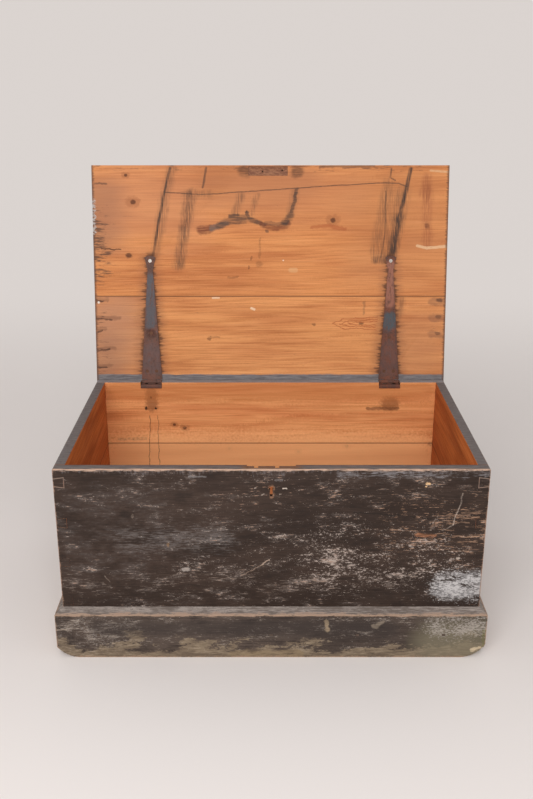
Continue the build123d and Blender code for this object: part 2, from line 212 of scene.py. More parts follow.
def patch(tree, flat, centre, half, turn=0.0, ragged=0.6, soft=0.6, wobble=None):
    """How much a place lies in a patch with round ends on a flat surface. Millimetres."""
    if half[0] < half[1]:
        half, turn = (half[1], half[0]), turn + math.pi / 2
    radius = half[1] * MM
    core = half[0] / half[1] - 1.0
    at = add(tree, "place", flat, (centre[0] * MM, centre[1] * MM, 0), (0, 0, turn),
             (radius, radius, 1.0))
    nearest = add(tree, "vector_minimum", at, (core, 0, 0))
    nearest = add(tree, "vector_maximum", nearest, (-core, 0, -1))
    away = add(tree, "vector_distance", at, nearest)
    if wobble is not None:
        away = add(tree, "multiply_add", wobble, ragged * 2, away)
        away = add(tree, "subtract", away, ragged)
    return add(tree, "step", away, 1.0 + soft / 2, 1.0 - soft / 2)


def shaken(tree, vector, size, reach):
    """The vector moved about, so that what is drawn on it gets an uneven outline."""
    moved = add(tree, "place", vector, (reach / 2,) * 3)
    drift = add(tree, "drift", vector, 1 / size, 5.0, 0.65)
    return add(tree, "vector_multiply_add", drift, (reach,) * 3, moved)


def stained(tree, color, flat, marks, wobble, streaks=None, soft=0.6):
    """The colour with every mark of a list laid over it.
    A mark is a list of patches, which are joined first, its colour and its strength.
    Where streaks are given, the marks break up with them."""
    for patches, tint, strength in marks:
        amount = None
        for centre, half, turn in patches:
            one = patch(tree, flat, centre, half, turn, soft=soft, wobble=wobble)
            amount = one if amount is None else add(tree, "maximum", amount, one)
        if streaks is not None:
            amount = add(tree, "multiply", amount, streaks)
        color = add(tree, "mix", add(tree, "multiply", amount, strength), color, linear(tint))
    return color


def region(tree, flat, centre, half, amount, wobble):
    """A wide soft patch whose middle has the value amount. Millimetres."""
    inside = patch(tree, flat, centre, half, ragged=0.8, soft=1.3, wobble=wobble)
    return add(tree, "multiply", inside, amount)


def flakes(tree, color, texture, level, density, tint, strength, edge=0.05):
    """Flecks of a tint where a texture rises over a level, which density lowers."""
    raised = add(tree, "add", texture, density)
    amount = add(tree, "step", raised, level, level + edge, 0.0, strength)
    return add(tree, "mix", amount, color, linear(tint))


def oval(x, y, half_x, half_y, turn=0.0):
    """A mark of one patch: its centre, half size and turn in degrees. Millimetres."""
    return [((x, y), (half_x, half_y), math.radians(turn))]


def line(points, width):
    """The patches of a line through points, a run at a time."""
    return [stroke(a, b, width) for a, b in zip(points, points[1:])]


def pine(tree, flat, early, late, heart=(-0.1, 0.03, -0.035), tilt=(0, 0.02, 0.012), seed=0.0,
         ring=0.34):
    """Pine cut along the trunk: growth rings round a heart just under the surface, which give
    long lines with a few pointed arches, fine fibres and slow changes of tone.
    Returns the colour and the height of the grain."""
    bend = speckle(tree, flat, 240 * MM, (3.2, 0.35, 1), 2.0, shift=(seed, seed, 0))
    x, y, z = add(tree, "split", add(tree, "place", flat, heart, tilt))
    swayed = add(tree, "multiply_add", bend, 90 * MM, y)
    ring_at = add(tree, "join", x, swayed, z)
    rings = add(tree, "rings", ring_at, RING_SCALE, 3.5, 4.0, 9.0, 0.7)
    fibre = speckle(tree, flat, 1.8 * MM, (80, 0.8, 1), 5.0, 0.7, shift=(0, seed, 0))
    streak = speckle(tree, flat, 9 * MM, (26, 0.7, 1), 4.0, 0.65, shift=(seed, 0.3, 0))
    tone = speckle(tree, flat, 60 * MM, (6, 0.8, 1), 3.0, 0.6, shift=(seed, 0, 0))
    lines = add(tree, "step", rings, 0.45, 1.0, 0.0, ring)
    wood = add(tree, "mix", lines, linear(early), linear(late))
    for texture, low, high, strength, tint in (
            (streak, 0.47, 0.66, 0.38, late), (fibre, 0.52, 0.62, 0.55, late),
            (fibre, 0.46, 0.36, 0.3, "f0b27c")):
        wood = add(tree, "mix", add(tree, "step", texture, low, high, 0.0, strength), wood,
                   linear(tint))
    wood = add(tree, "mix", add(tree, "step", tone, 0.36, 0.7, 0.0, 0.4), wood, linear(late),
               blend_type="MULTIPLY")
    height = add(tree, "multiply_add", fibre, 0.5, add(tree, "multiply", lines, -0.4))
    return wood, height


def knots(tree, color, flat, places):
    """Dark round knots, each with a paler ring of turned grain. Millimetres."""
    wobble = speckle(tree, flat, 9 * MM, detail=2.0)
    for x, y, radius in places:
        ring = patch(tree, flat, (x, y), (radius * 2.6, radius * 1.8), wobble=wobble)
        color = add(tree, "mix", add(tree, "multiply", ring, 0.35), color, linear("8a4d2c"))
        heart = patch(tree, flat, (x, y), (radius, radius * 0.85), wobble=wobble)
        color = add(tree, "mix", add(tree, "multiply", heart, 0.8), color, linear("4e2817"))
    return color


# Broad changes of tone under the lid, on its front and its back board
LID_TONES = {
    True: [
        (oval(-300, -450, 150, 90), "c98a64", 0.5),
        (oval(-30, -500, 150, 40), "a96c48", 0.55),
        (oval(60, -470, 190, 60), "c07f55", 0.5),
        (oval(330, -450, 120, 100), "b97a4e", 0.5),
        (oval(330, -300, 150, 60), "c38354", 0.4),
        (oval(-420, -420, 50, 90), "9f6d51", 0.6),
    ],
    False: [
        (oval(330, -300, 150, 60), "c38354", 0.4),
        (oval(370, -90, 90, 80), "b97c55", 0.5),
        (oval(-390, -110, 80, 90), "bd8a69", 0.55),
        (oval(-425, -60, 45, 70), "8d6350", 0.5),
        (oval(-400, -190, 60, 60), "b18064", 0.5),
    ],
}
# Wide soft smears of rust and soot
LID_SMUDGES = [
    (line([(-245, -538), (-262, -479), (-290, -330)], 22), SOOT, 0.5),
    (line([(-200, -475), (-214, -400), (-232, -296)], 24), SOOT, 0.8),
    (oval(-185, -476, 40, 8), SOOT, 0.4),
    (line([(-75, -468), (-88, -425)], 18), SOOT, 0.55),
    (line([(-35, -470), (-46, -428)], 14), SOOT, 0.5),
    (line([(62, -478), (50, -430)], 20), SOOT, 0.45),
    (line([(323, -413), (306, -321)], 24), SOOT, 0.95),
    (line([(330, -480), (300, -330)], 34), SOOT, 0.55),
    (line([(296, -500), (266, -330)], 26), SOOT, 0.5),
    (oval(276, -311, 18, 9), SOOT, 0.9),
    (line([(392, -515), (396, -350)], 22), "86412a", 0.5),
    (oval(391, -480, 14, 22), "7d3f28", 0.45),
    (oval(330, -182, 7, 34, 12), SOOT, 0.45),
]
# Thin dark lines beside the smears
LID_DRAGS = [
    (line([(-250, -538), (-266, -479), (-298, -319)], 6), SOOT, 1.0),
    (line([(-161, -538), (-169, -490)], 5), SOOT, 0.75),
    (line([(351, -536), (341, -492), (323, -413), (310, -330)], 9), SOOT, 1.0),
    (line([(302, -536), (300, -515), (312, -508)], 3.5), SOOT, 0.8),
    (line([(289, -480), (289, -382), (280, -318)], 4), SOOT, 0.6),
]
# A scribed line from strap to strap, and pale chips
LID_SCRATCHES = [
    (line([(-264, -479), (-174, -473), (-26, -482), (95, -491)], 2.6), SOOT, 0.7),
    (line([(95, -491), (270, -501), (321, -501), (341, -492)], 2.6), SOOT, 0.7),
    (oval(-139, -215, 10, 2), PALE, 0.8),
    (oval(-45, -187, 7, 3, 24), PALE, 0.95),
    (oval(-437, -203, 3, 3), "e8ddd0", 0.9),
    (oval(32, -310, 1.8, 1.8), "f0e4d4", 0.9),
    (oval(58, -285, 12, 6), "e0b482", 0.4),
    (line([(372, -346), (395, -341), (445, -345)], 7), "e3bd94", 0.7),
    (line([(400, -532), (445, -528)], 5), "dcb48a", 0.6),
]
LID_KNOTS = [(-345, -455, 7), (-362, -521, 4), (157, -410, 7)]
# Grime along the lid's edges, on its front and its back board. The first lies at the left end
LID_GRIME = {
    True: [
        ((-452, -340), (50, 105), 0.22, "4a362d", 0.8),
        ((-30, -540), (420, 12), 0.14, "5a3b2b", 0.7),
    ],
    False: [
        ((-446, -110), (42, 115), 0.13, "4a362d", 0.8),
        ((440, -150), (40, 80), 0.1, "5a3b2b", 0.7),
    ],
}


def lid_blots():
    """The curved blot, the bruises and the stains of nails under the lid."""
    blots = [
        (line([(-176, -384), (-152, -388)], 19) + line([(-150, -389), (-140, -392)], 13), RUST,
         0.85),
        (line([(-148, -389), (-112, -404)], 15), GREY, 0.7),
        (line([(-128, -397), (-108, -408), (-66, -412)], 19) + oval(-92, -420, 14, 5), SOOT, 0.8),
        (line([(-60, -424), (-50, -412)], 8) + line([(-50, -412), (-15, -398)], 12), SOOT, 0.85),
        (line([(-20, -398), (15, -390), (42, -399)], 15), RUST, 0.75),
        (line([(-12, -404), (20, -402), (44, -408)], 9), SOOT, 0.55),
        (line([(36, -404), (52, -420)], 17) + line([(52, -420), (60, -452), (66, -484)], 9),
         SOOT, 0.8),
        (oval(-60, -428, 5, 5), SOOT, 0.9),
        (oval(-10, -383, 5, 4), SOOT, 0.8),
        (oval(-27, -300, 9, 8), DARK, 0.35),
        (oval(-27, -340, 3, 26), DARK, 0.3),
        (oval(-54, -293, 3, 4), DARK, 0.7),
        (oval(-46, -313, 2, 6), DARK, 0.5),
        (oval(-95, -268, 14, 3), DARK, 0.4),
        (line([(105, -392), (150, -396), (190, -390)], 9), "a34f2a", 0.55),
        (oval(393, -398, 6, 8), "5b2c20", 0.6),
        (oval(-403, -337, 26, 1.8), "2b1812", 0.95),
        (oval(-359, -322, 8, 6), DARK, 0.9),
        (oval(-425, -500, 16, 2.2), SOOT, 0.7),
        (oval(238, -190, 3, 16), SOOT, 0.4),
        (oval(232, -150, 5, 5), DARK, 0.7),
        (oval(-155, -111, 5, 4), DARK, 0.7),
        (oval(-140, -113, 10, 2), DARK, 0.5),
        (oval(110, -146, 5, 3), DARK, 0.6),
        (oval(190, -542, 70, 4), SOOT, 0.6),
        (oval(-64, -530, 16, 14), "4a3024", 0.7),
        (oval(66, -530, 16, 14), "4a3024", 0.7),
    ]
    for along, reach in ((207, 12), (160, 22), (131, 9), (81, 18), (37, 14)):
        blots.append((oval(-446 + reach, -along, reach, 2.2), NAIL_STAIN, 0.9))
        blots.append((oval(-442 + reach, -along - 4, reach * 1.7, 5), NAIL_RUST, 0.45))
    for along in (207, 167, 124):
        blots.append((oval(429, -along, 8, 4.5), NAIL_STAIN, 0.85))
        blots.append((oval(424, -along + 3, 20, 9), "7c5440", 0.5))
    return blots


def lid_arches():
    """Reddish growth lines that meet in narrow arches."""
    arches = []
    for tip, half_across in ((160, 16), (178, 10), (196, 5)):
        for side in (-1, 1):
            ends = [(tip, -149), (tip + 24, -149 + side * half_across * 0.8),
                    (270, -149 + side * half_across)]
            arches.append((line(ends, 2.4), "a9502a", 0.6))
    return arches


def on_board(marks, front, right):
    """The marks that lie on the back board of the lid, or on one side of its front board."""
    chosen = []
    for mark in marks:
        across, along = mark[0][0][0]
        if front != (along < -LID_JOINT / MM):
            continue
        if not front or right == (across > LID_SPLIT / MM):
            chosen.append(mark)
    return chosen


def lid_underside(front, right=False):
    """Bare orange pine under the lid. It gives the eye the long grain, the dark halos that the
    rusted straps left, the smears and the scribed line, blots, nail stains and pale chips."""
    name = "bare_pine_lid_" + ("front" if front else "back") + ("_right" if right else "")
    material, tree, here = new_material(name)
    flat = add(tree, "place", here, (0, PIN_Y, PIN_Z), (-LID_ANGLE, 0, 0))
    early = "db9157" if front else "e39b60"
    wood, height = pine(tree, flat, early, "ad6735", tilt=(0, 0.015, -0.02), ring=0.3,
                        heart=(-0.3, -0.36, -0.03) if front else (0.2, -0.13, -0.02),
                        seed=0.0 if front else 0.43)
    x, y = add(tree, "split", flat)[:2]
    low = speckle(tree, flat, 40 * MM, (4, 0.7, 1), 3.0, shift=(0.3, 0.1, 0))
    fine = speckle(tree, flat, 5 * MM, (1.5, 0.8, 1), detail=4.0, rough=0.7)
    grain = speckle(tree, flat, 3 * MM, (12, 0.7, 1), 4.0, 0.7, shift=(0, 0.2, 0))
    dragged = speckle(tree, flat, 5 * MM, (0.5, 9, 1), 4.0, 0.7, shift=(0.1, 0, 0))
    spikes = speckle(tree, flat, 9 * MM, (5, 0.7, 1), 5.0, 0.75, shift=(0.5, 0.2, 0))
    drawn = shaken(tree, flat, 30 * MM, 20 * MM)
    steady = shaken(tree, flat, 60 * MM, 7 * MM)

    def marked(wood, marks, way, streaks=None, soft=0.6):
        return stained(tree, wood, way, on_board(marks, front, right), None, streaks, soft)

    wood = stained(tree, wood, flat, LID_TONES[front], low, soft=1.7)
    for place, half, amount, tint, strength in LID_GRIME[front][1 if right else 0:]:
        grimy = region(tree, flat, place, half, amount, low)
        wood = flakes(tree, wood, spikes, 0.66, grimy, tint, strength, 0.14)
    wood = flakes(tree, wood, grain, 0.66, 0.0, "a8582c", 0.35)
    wood = flakes(tree, wood, fine, 0.71, 0.0, "8a5231", 0.5)
    if front:
        wood = knots(tree, wood, flat, LID_KNOTS)
    broken = add(tree, "step", dragged, 0.34, 0.62, 0.1, 0.95)
    wood = marked(wood, LID_SMUDGES, drawn, broken, 1.5)
    broken = add(tree, "step", dragged, 0.3, 0.6, 0.35, 1.0)
    wood = marked(wood, LID_DRAGS, steady, broken, 1.1)
    broken = add(tree, "step", grain, 0.34, 0.56, 0.4, 1.0)
    wood = marked(wood, lid_blots(), drawn, broken, 0.9)
    broken = add(tree, "step", fine, 0.3, 0.5, 0.5, 1.0)
    wood = marked(wood, LID_SCRATCHES, steady, broken)
    wood = marked(wood, lid_arches(), drawn)
    wood = recess_shade(tree, wood, flat, fine)
    wood = strap_halo(tree, wood, x, y, spikes)
    joint = add(tree, "step", from_edge(tree, y, -LID_JOINT), 2.4 * MM, 0.0)
    wood = add(tree, "mix", add(tree, "multiply", joint, 0.75), wood, linear("4a2a1a"))
    margin = add(tree, "multiply_add", grain, 9 * MM, y)
    margin = add(tree, "step", margin, -14.5 * MM, -12.5 * MM)
    slate = add(tree, "mix", add(tree, "step", grain, 0.4, 0.62), linear("625b5c"),
                linear("837c7c"))
    wood = add(tree, "mix", margin, wood, slate)
    edge = add(tree, "multiply_add", grain, 16 * MM, add(tree, "absolute", x))
    edge = add(tree, "step", edge, HALF_WIDTH + 3 * MM, HALF_WIDTH + 9 * MM, 0.0, 0.8)
    wood = add(tree, "mix", edge, wood, linear("5d4234"))
    crust = region(tree, flat, (-446, -420), (10, 46), 0.26, low)
    wood = flakes(tree, wood, fine, 0.72, crust, "b9b3ae", 0.8)
    finish_material(tree, wood, 0.62, height, 0.35 * MM)
    return material


def recess_shade(tree, color, flat, fine):
    """The keeper's recess under the lid's front edge: painted shade, a darker brown on its deeper
    faces.
    """
    z = add(tree, "split", flat)[2]
    # Painted shade: faces that lie deeper than the underside get the darker brown
    deep = add(tree, "step", z, LID_UNDER + 0.6 * MM, LID_UNDER + 1.6 * MM)
    shade = add(tree, "mix", add(tree, "step", fine, 0.42, 0.6), linear("7a4d38"),
                linear("99694c"))
    return add(tree, "mix", deep, color, shade)


def strap_halo(tree, color, x, y, grain):
    """The dark stain along each strap, where rust has run into the wood along its grain."""
    from_middle = add(tree, "subtract", add(tree, "absolute", x), HINGE_X)
    reach = add(tree, "multiply_add", add(tree, "maximum", y, -STRAP_TIP * 0.92), STRAP_TAPER,
                STRAP_ROOT)
    outside = add(tree, "subtract", add(tree, "absolute", from_middle), reach)
    ragged = add(tree, "multiply_add", grain, -60 * MM, outside)
    ragged = add(tree, "add", ragged, 13 * MM)
    beside = add(tree, "step", ragged, -8 * MM, -18 * MM)
    within = add(tree, "step", y, -STRAP_TIP - 14 * MM, -STRAP_TIP + 2 * MM)
    amount = add(tree, "multiply", add(tree, "multiply", beside, within), 0.85)
    color = add(tree, "mix", amount, color, linear("2b1d18"))
    wide = add(tree, "step", ragged, 14 * MM, -14 * MM, 0.0, 0.4)
    return add(tree, "mix", add(tree, "multiply", wide, within), color, linear("84543a"))


def inner_wood(name, turn, early, late, marks, heart, knot_places=(), deep=None):
    """Bare pine inside the trunk. It gives the eye long grain, knots, stains and the shade of a
    board that never saw the light."""
    material, tree, here = new_material(name)
    flat = add(tree, "place", here, (0, 0, 0), turn)
    wood, height = pine(tree, flat, early, late, heart=heart, seed=heart[0])
    fine = speckle(tree, flat, 6 * MM, detail=3.0)
    wood = knots(tree, wood, flat, knot_places)
    wood = stained(tree, wood, shaken(tree, flat, 30 * MM, 14 * MM), marks, fine, soft=0.9)
    if deep is not None:
        y = add(tree, "split", flat)[1]
        joint = add(tree, "step", from_edge(tree, y, BOARD_JOINT_Z), 3 * MM, 0.0, 0.0, 0.7)
        wood = add(tree, "mix", joint, wood, linear(deep))
    finish_material(tree, wood, 0.7, height, 0.35 * MM)
    return material


def back_inside():
    """The inner face of the back: orange pine with pencil lines and the ghost of an older hinge,
    with painted light: darker along the top and brighter lower down.
    """
    rim = RIM_Z / MM
    marks = [
        (oval(-305, rim - 45, 15, 32), "6b3b20", 0.6),
        (oval(-306, rim - 42, 3.2, 3.2), "1d120d", 0.95),
        (oval(-319, rim - 71, 3.2, 3.2), "1d120d", 0.95),
        (oval(-295, rim - 71, 3.2, 3.2), "1d120d", 0.95),
        (oval(-358, rim - 156, 38, 4), "5d321c", 0.7),
        (oval(308, rim - 57, 22, 19), "7a4322", 0.6),
        (oval(289, rim - 71, 42, 4), "5d321c", 0.6),
        (oval(419, rim - 172, 7, 6), "5d321c", 0.7),
        # Painted light: a darker band along the top and a painted pool of the lamp's light lower
        # down
        (oval(0, rim - 24, 420, 26), "c0743f", 0.5),
        (oval(0, rim - 215, 440, 70), "ffbb80", 0.8),
        (line([(-311, rim - 92), (-317, rim - 231)], 2), "6d4630", 0.7),
        (line([(-291, rim - 92), (-291, rim - 231)], 2), "6d4630", 0.6),
    ]
    spots = [(-249, rim - 116, 4), (-222, rim - 125, 5), (-107, rim - 183, 4),
             (74, rim - 192, 4), (200, rim - 177, 5)]
    return inner_wood("bare_pine_back", FLAT_FRONT, "f2a76c", "c0743c", marks,
                      (0.3, 0.3, -0.03), spots, deep="5a2f18")


def paint_layers(tree, flat, dark, light, wood, seed=0.0):
    """Old dark paint on pine: brushed along the grain, mottled, scuffed to grey and checked along
    the grain. Returns its colour, its height and its three textures: fine, streaked, mottled."""
    broad = speckle(tree, flat, 110 * MM, (2.5, 1, 1), 4.0, 0.6, shift=(seed, 0, 0))
    checked = speckle(tree, flat, 1.9 * MM, (34, 0.9, 1), 5.0, 0.72, shift=(0, seed, 0))
    mottled = speckle(tree, flat, 26 * MM, (2.2, 0.9, 1), 8.0, 0.72, shift=(0, seed, 0))
    grit = speckle(tree, flat, 3.4 * MM, (1.7, 0.8, 1), 5.0, 0.75, shift=(seed, seed, 0))
    scored = speckle(tree, flat, 2.4 * MM, (10, 0.8, 1), 5.0, 0.72, shift=(seed, 0.1, 0))
    gather = add(tree, "multiply_add", mottled, 0.7, -0.35)
    fine = add(tree, "add", grit, gather)
    streaked = add(tree, "add", scored, gather)
    paint = add(tree, "mix", add(tree, "step", broad, 0.38, 0.62), linear(dark), linear(light))
    for texture, low, high, strength, tint in (
            (mottled, 0.52, 0.7, 0.4, "5b4d45"), (mottled, 0.48, 0.32, 0.6, "211814"),
            (checked, 0.5, 0.66, 0.6, "1a120f"), (checked, 0.44, 0.3, 0.3, "6a5c54")):
        paint = add(tree, "mix", add(tree, "step", texture, low, high, 0.0, strength), paint,
                    linear(tint))
    paint = flakes(tree, paint, fine, 0.72, 0.0, "93857b", 0.6)
    paint = flakes(tree, paint, streaked, 0.71, 0.0, wood, 0.65)
    height = add(tree, "multiply_add", checked, 0.5, add(tree, "multiply", grit, -0.4))
    return paint, height, fine, streaked, mottled


def rubbed_edge(tree, color, distance, ragged, reach, tint, strength):
    """Paint rubbed off along an edge, to a ragged line at about reach from it."""
    near = add(tree, "multiply_add", ragged, -6.0 * reach, distance)
    amount = add(tree, "step", near, -2.0 * reach, -2.7 * reach, 0.0, strength)
    worn = add(tree, "mix", add(tree, "step", ragged, 0.4, 0.6, 0.0, 0.6), linear(tint),
               linear("8d7264"))
    return add(tree, "mix", amount, color, worn)


def from_edge(tree, value, edge):
    """How far a coordinate lies from an edge."""
    return add(tree, "absolute", add(tree, "subtract", value, edge))


def front_marks(rim):
    """Chips, scratches and streaks of bare wood on the front, with the keyhole's worn edge."""
    scratch = "c4b2a4"
    marks = [
        (oval(-150, rim - 16, 20, 2), "7f7a79", 0.6),
        (oval(14, rim - 24, 9, 2.5), "7f7a79", 0.6),
        (oval(319, rim - 33, 5, 3.5) + oval(316, rim - 39, 2, 2), "e6bb8c", 0.95),
        (oval(391, rim - 205, 4, 3), scratch, 0.8),
        (oval(-32, rim - 42, 3, 1.2), scratch, 0.7),
        (oval(-14, rim - 41, 5, 1.3), "c49b80", 0.7),
        (oval(27, rim - 43, 4, 1.8), "e6d4c4", 0.9),
        (oval(-18, rim - 56, 3, 1), scratch, 0.5),
        (oval(17, rim - 56, 3, 1), scratch, 0.5),
        (oval(0, rim - 43, 6.6, 6.6), "a3785c", 0.6),
        (oval(0, rim - 57, 4.4, 8), "a3785c", 0.6),
        (oval(-285, rim - 105, 3, 5), "9d8a7c", 0.5),
        (oval(-215, rim - 172, 3, 6), "8d6b4a", 0.6),
        (oval(-180, rim - 232, 9, 4), "a59a92", 0.7),
        (oval(320, rim - 150, 22, 4), "a8704f", 0.7),
        (line([(391, rim - 53), (384, rim - 90), (377, rim - 124)], 2.6), scratch, 0.5),
        (line([(377, rim - 124), (352, rim - 140)], 2), scratch, 0.35),
        (line([(-5, rim - 207), (-22, rim - 222)], 2.6), "bba28f", 0.7),
        (line([(-22, rim - 222), (-62, rim - 247)], 1.8), "a58c7b", 0.6),
        (line([(170, rim - 98), (250, rim - 103), (330, rim - 112)], 3), "15100e", 0.8),
        (line([(-352, rim - 246), (-342, rim - 262)], 1.8), "9a897c", 0.6),
    ]
    for drop, left, right, strength in (
            (98, 390, 432, .4), (104, 360, 388, .4), (109, 382, 430, .7), (121, 362, 410, .4),
            (131, 400, 436, .4), (137, 344, 380, .4), (147, 340, 372, .4), (153, 376, 434, .7),
            (160, 310, 340, .3), (166, 386, 430, .5), (176, 350, 380, .3), (188, 386, 414, .3)):
        marks.append((oval((left + right) / 2, rim - drop, (right - left) / 2, 1.4, -1),
                      "ab876e", strength))
    return marks


def front_paint():
    """The painted front. It gives the eye a near-black brown coat with brush lines, pale flecks,
    blue-grey drips, scratches, rubbed edges and the outlines of the dovetails through the paint."""
    material, tree, here = new_material("painted_pine_front")
    flat = add(tree, "place", here, (0, 0, 0), FLAT_FRONT)
    paint, height, fine, streaked, mottled = paint_layers(tree, flat, "2f221b", "3d2e26", "96735c")
    x, y = add(tree, "split", flat)[:2]
    rim = RIM_Z / MM
    worn_places = (
        ((-340, 150), (150, 130), 0.1, [(mottled, 0.52, "544c49", 0.45, 0.2)]),
        ((-200, 160), (130, 34), 0.14, [(streaked, 0.58, "77706d", 0.5, 0.14)]),
        ((230, 205), (190, 85), 0.1, [(mottled, 0.66, "7a675b", 0.55, 0.08),
                                      (fine, 0.66, "b8a89e", 0.85, 0.05)]),
        ((40, 190), (300, 90), 0.06, [(fine, 0.68, "a3948a", 0.8, 0.05)]),
        ((360, 140), (170, 100), 0.07, [(streaked, 0.66, "c19577", 0.8, 0.05)]),
        ((-60, 262), (400, 36), 0.08, [(streaked, 0.66, "83746a", 0.7, 0.05)]),
        ((40, 60), (170, 50), 0.05, [(streaked, 0.68, "b08a72", 0.8, 0.05)]),
        ((404, 270), (84, 50), 0.34, [(mottled, 0.74, "7d7a7a", 0.85, 0.12),
                                      (fine, 0.77, "c2bdbb", 0.85, 0.14)]),
    )
    for (across, drop), half, amount, layers in worn_places:
        worn = region(tree, flat, (across, rim - drop), half, amount, mottled)
        for texture, level, tint, strength, edge in layers:
            paint = flakes(tree, paint, texture, level, worn, tint, strength, edge)
    drips = add(tree, "subtract", RIM_Z, y)
    drops = speckle(tree, flat, 5 * MM, (0.8, 3.4, 1), 6.0, 0.75, shift=(0.2, 0, 0))
    under = add(tree, "multiply_add", drops, -70 * MM, drips)
    under = add(tree, "multiply_add", mottled, -40 * MM, under)
    under = add(tree, "step", under, -46 * MM, -57 * MM, 0.0, 0.6)
    paint = add(tree, "mix", under, paint, linear("6c6565"))
    band = region(tree, shaken(tree, flat, 24 * MM, 30 * MM), (290, rim - 10), (160, 13), 0.26,
                  mottled)
    paint = flakes(tree, paint, streaked, 0.74, band, "7c7778", 0.85, 0.1)
    drawn = shaken(tree, flat, 22 * MM, 14 * MM)
    broken = add(tree, "step", streaked, 0.36, 0.56, 0.15, 1.0)
    paint = stained(tree, paint, drawn, front_marks(rim), fine, broken)
    for centre, half, turn, tint, strength in dovetail_lines(rim):
        edge = patch(tree, flat, centre, half, turn, ragged=0.9, soft=0.8, wobble=fine)
        paint = add(tree, "mix", add(tree, "multiply", edge, strength), paint, linear(tint))
    paint = rubbed_edge(tree, paint, from_edge(tree, y, RIM_Z), streaked, 4.2 * MM, "e2bda3", 0.95)
    side = add(tree, "subtract", HALF_WIDTH, add(tree, "absolute", x))
    paint = rubbed_edge(tree, paint, side, fine, 2.0 * MM, "a5826b", 0.85)
    joint = add(tree, "step", from_edge(tree, y, BOARD_JOINT_Z), 1.6 * MM, 0.2 * MM, 0.0, 0.6)
    paint = add(tree, "mix", joint, paint, linear("1b1412"))
    finish_material(tree, paint, 0.6, height, 0.4 * MM)
    return material


def dovetail_lines(rim):
    """The outlines of the pins in the front's corners, which show through the paint."""
    first, pitch, count = 30, 92, 5
    narrow, wide = 8.5, 11.5
    lines = []
    for side in (-1, 1):
        outer, inner = side * (HALF_WIDTH / MM - 1), side * (HALF_WIDTH / MM - BOARD / MM)
        for number in range(count):
            middle = rim - first - pitch * number
            if middle < PLINTH_TOP / MM:
                continue
            tint, strength = ("a08c80", 0.6) if number == 0 else ("241b18", 0.75)
            for sign in (-1, 1):
                at = stroke((outer, middle + sign * narrow), (inner, middle + sign * wide), 1.8)
                lines.append(at + (tint, strength))
            end = stroke((inner, middle - wide), (inner, middle + wide), 1.6)
            lines.append(end + (tint, strength * 0.8))
    return lines


def side_paint(name, turn):
    """The paint of the ends and the back: the same coat as in front, with less wear."""
    material, tree, here = new_material(name)
    flat = add(tree, "place", here, (0, 0, 0), turn)
    paint, height, _, streaked, _ = paint_layers(tree, flat, "3d2f29", "4d3e36", "94705a",
                                                 seed=0.37)
    y = add(tree, "split", flat)[1]
    paint = rubbed_edge(tree, paint, from_edge(tree, y, RIM_Z), streaked, 4 * MM, "b3917f", 0.9)
    joint = add(tree, "step", from_edge(tree, y, BOARD_JOINT_Z), 1.6 * MM, 0.2 * MM, 0.0, 0.6)
    paint = add(tree, "mix", joint, paint, linear("1b1412"))
    finish_material(tree, paint, 0.6, height, 0.4 * MM)
    return material


def lid_paint():
    """The lid's upper side and edges: the trunk's dark coat, rubbed pale along the edges."""
    material, tree, here = new_material("painted_pine_lid")
    flat = add(tree, "place", here, (0, PIN_Y, PIN_Z), (-LID_ANGLE, 0, 0))
    paint, height, _, streaked, _ = paint_layers(tree, flat, "40332d", "54463e", "94705a",
                                                 seed=0.61)
    y, z = add(tree, "split", flat)[1:]
    at_top = add(tree, "subtract", LID_UNDER + LID_THICKNESS, z)
    at_front = add(tree, "add", y, LID_REACH)
    corner = add(tree, "add", at_top, at_front)
    paint = rubbed_edge(tree, paint, corner, streaked, 5 * MM, "b3917f", 0.9)
    joint = add(tree, "step", from_edge(tree, y, -LID_JOINT), 1.6 * MM, 0.2 * MM, 0.0, 0.8)
    paint = add(tree, "mix", joint, paint, linear("1b1412"))
    finish_material(tree, paint, 0.55, height, 0.4 * MM)
    return material


def rim_paint():
    """The top of the sides: thin blue-grey paint worn to brown wood along the outer edge, and a
    painted sheen that makes the back board's top paler.
    """
    material, tree, here = new_material("painted_pine_rim")
    x, y = add(tree, "split", here)[:2]
    fine = speckle(tree, here, 4 * MM, (2.2, 1.6, 1), 5.0, 0.75)
    long = speckle(tree, here, 3 * MM, (16, 1, 1), 5.0, 0.7)
    paint = add(tree, "mix", add(tree, "step", long, 0.4, 0.62), linear("5d5553"),
                linear("7d7674"))
    paint = flakes(tree, paint, fine, 0.6, 0.0, "4a3c35", 0.7)
    # Painted sheen: the back board's top is painted a paler grey, for the light it catches
    back = add(tree, "step", y, BACK_Y - BOARD - 2 * MM, BACK_Y - BOARD + 2 * MM, 0.0, 0.7)
    slate = add(tree, "mix", add(tree, "step", long, 0.42, 0.6), linear("847e7f"),
                linear("a09a9b"))
    paint = add(tree, "mix", back, paint, slate)
    at_rim = add(tree, "place", here, (0, 0, RIM_Z))
    brown = region(tree, at_rim, (0, FRONT_Y / MM + 12), (60, 16), 1.0, fine)
    paint = add(tree, "mix", brown, paint, linear("7a5b49"))
    paint = rubbed_edge(tree, paint, from_edge(tree, y, FRONT_Y + BOARD), long, 3 * MM, "6a4632",
                        0.8)
    paint = rubbed_edge(tree, paint, from_edge(tree, y, FRONT_Y), long, 4 * MM, "dcb499", 0.95)
    side = add(tree, "subtract", HALF_WIDTH, add(tree, "absolute", x))
    paint = rubbed_edge(tree, paint, side, fine, 2.5 * MM, "8a7668", 0.6)
    finish_material(tree, paint, 0.6, fine, 0.4 * MM)
    return material


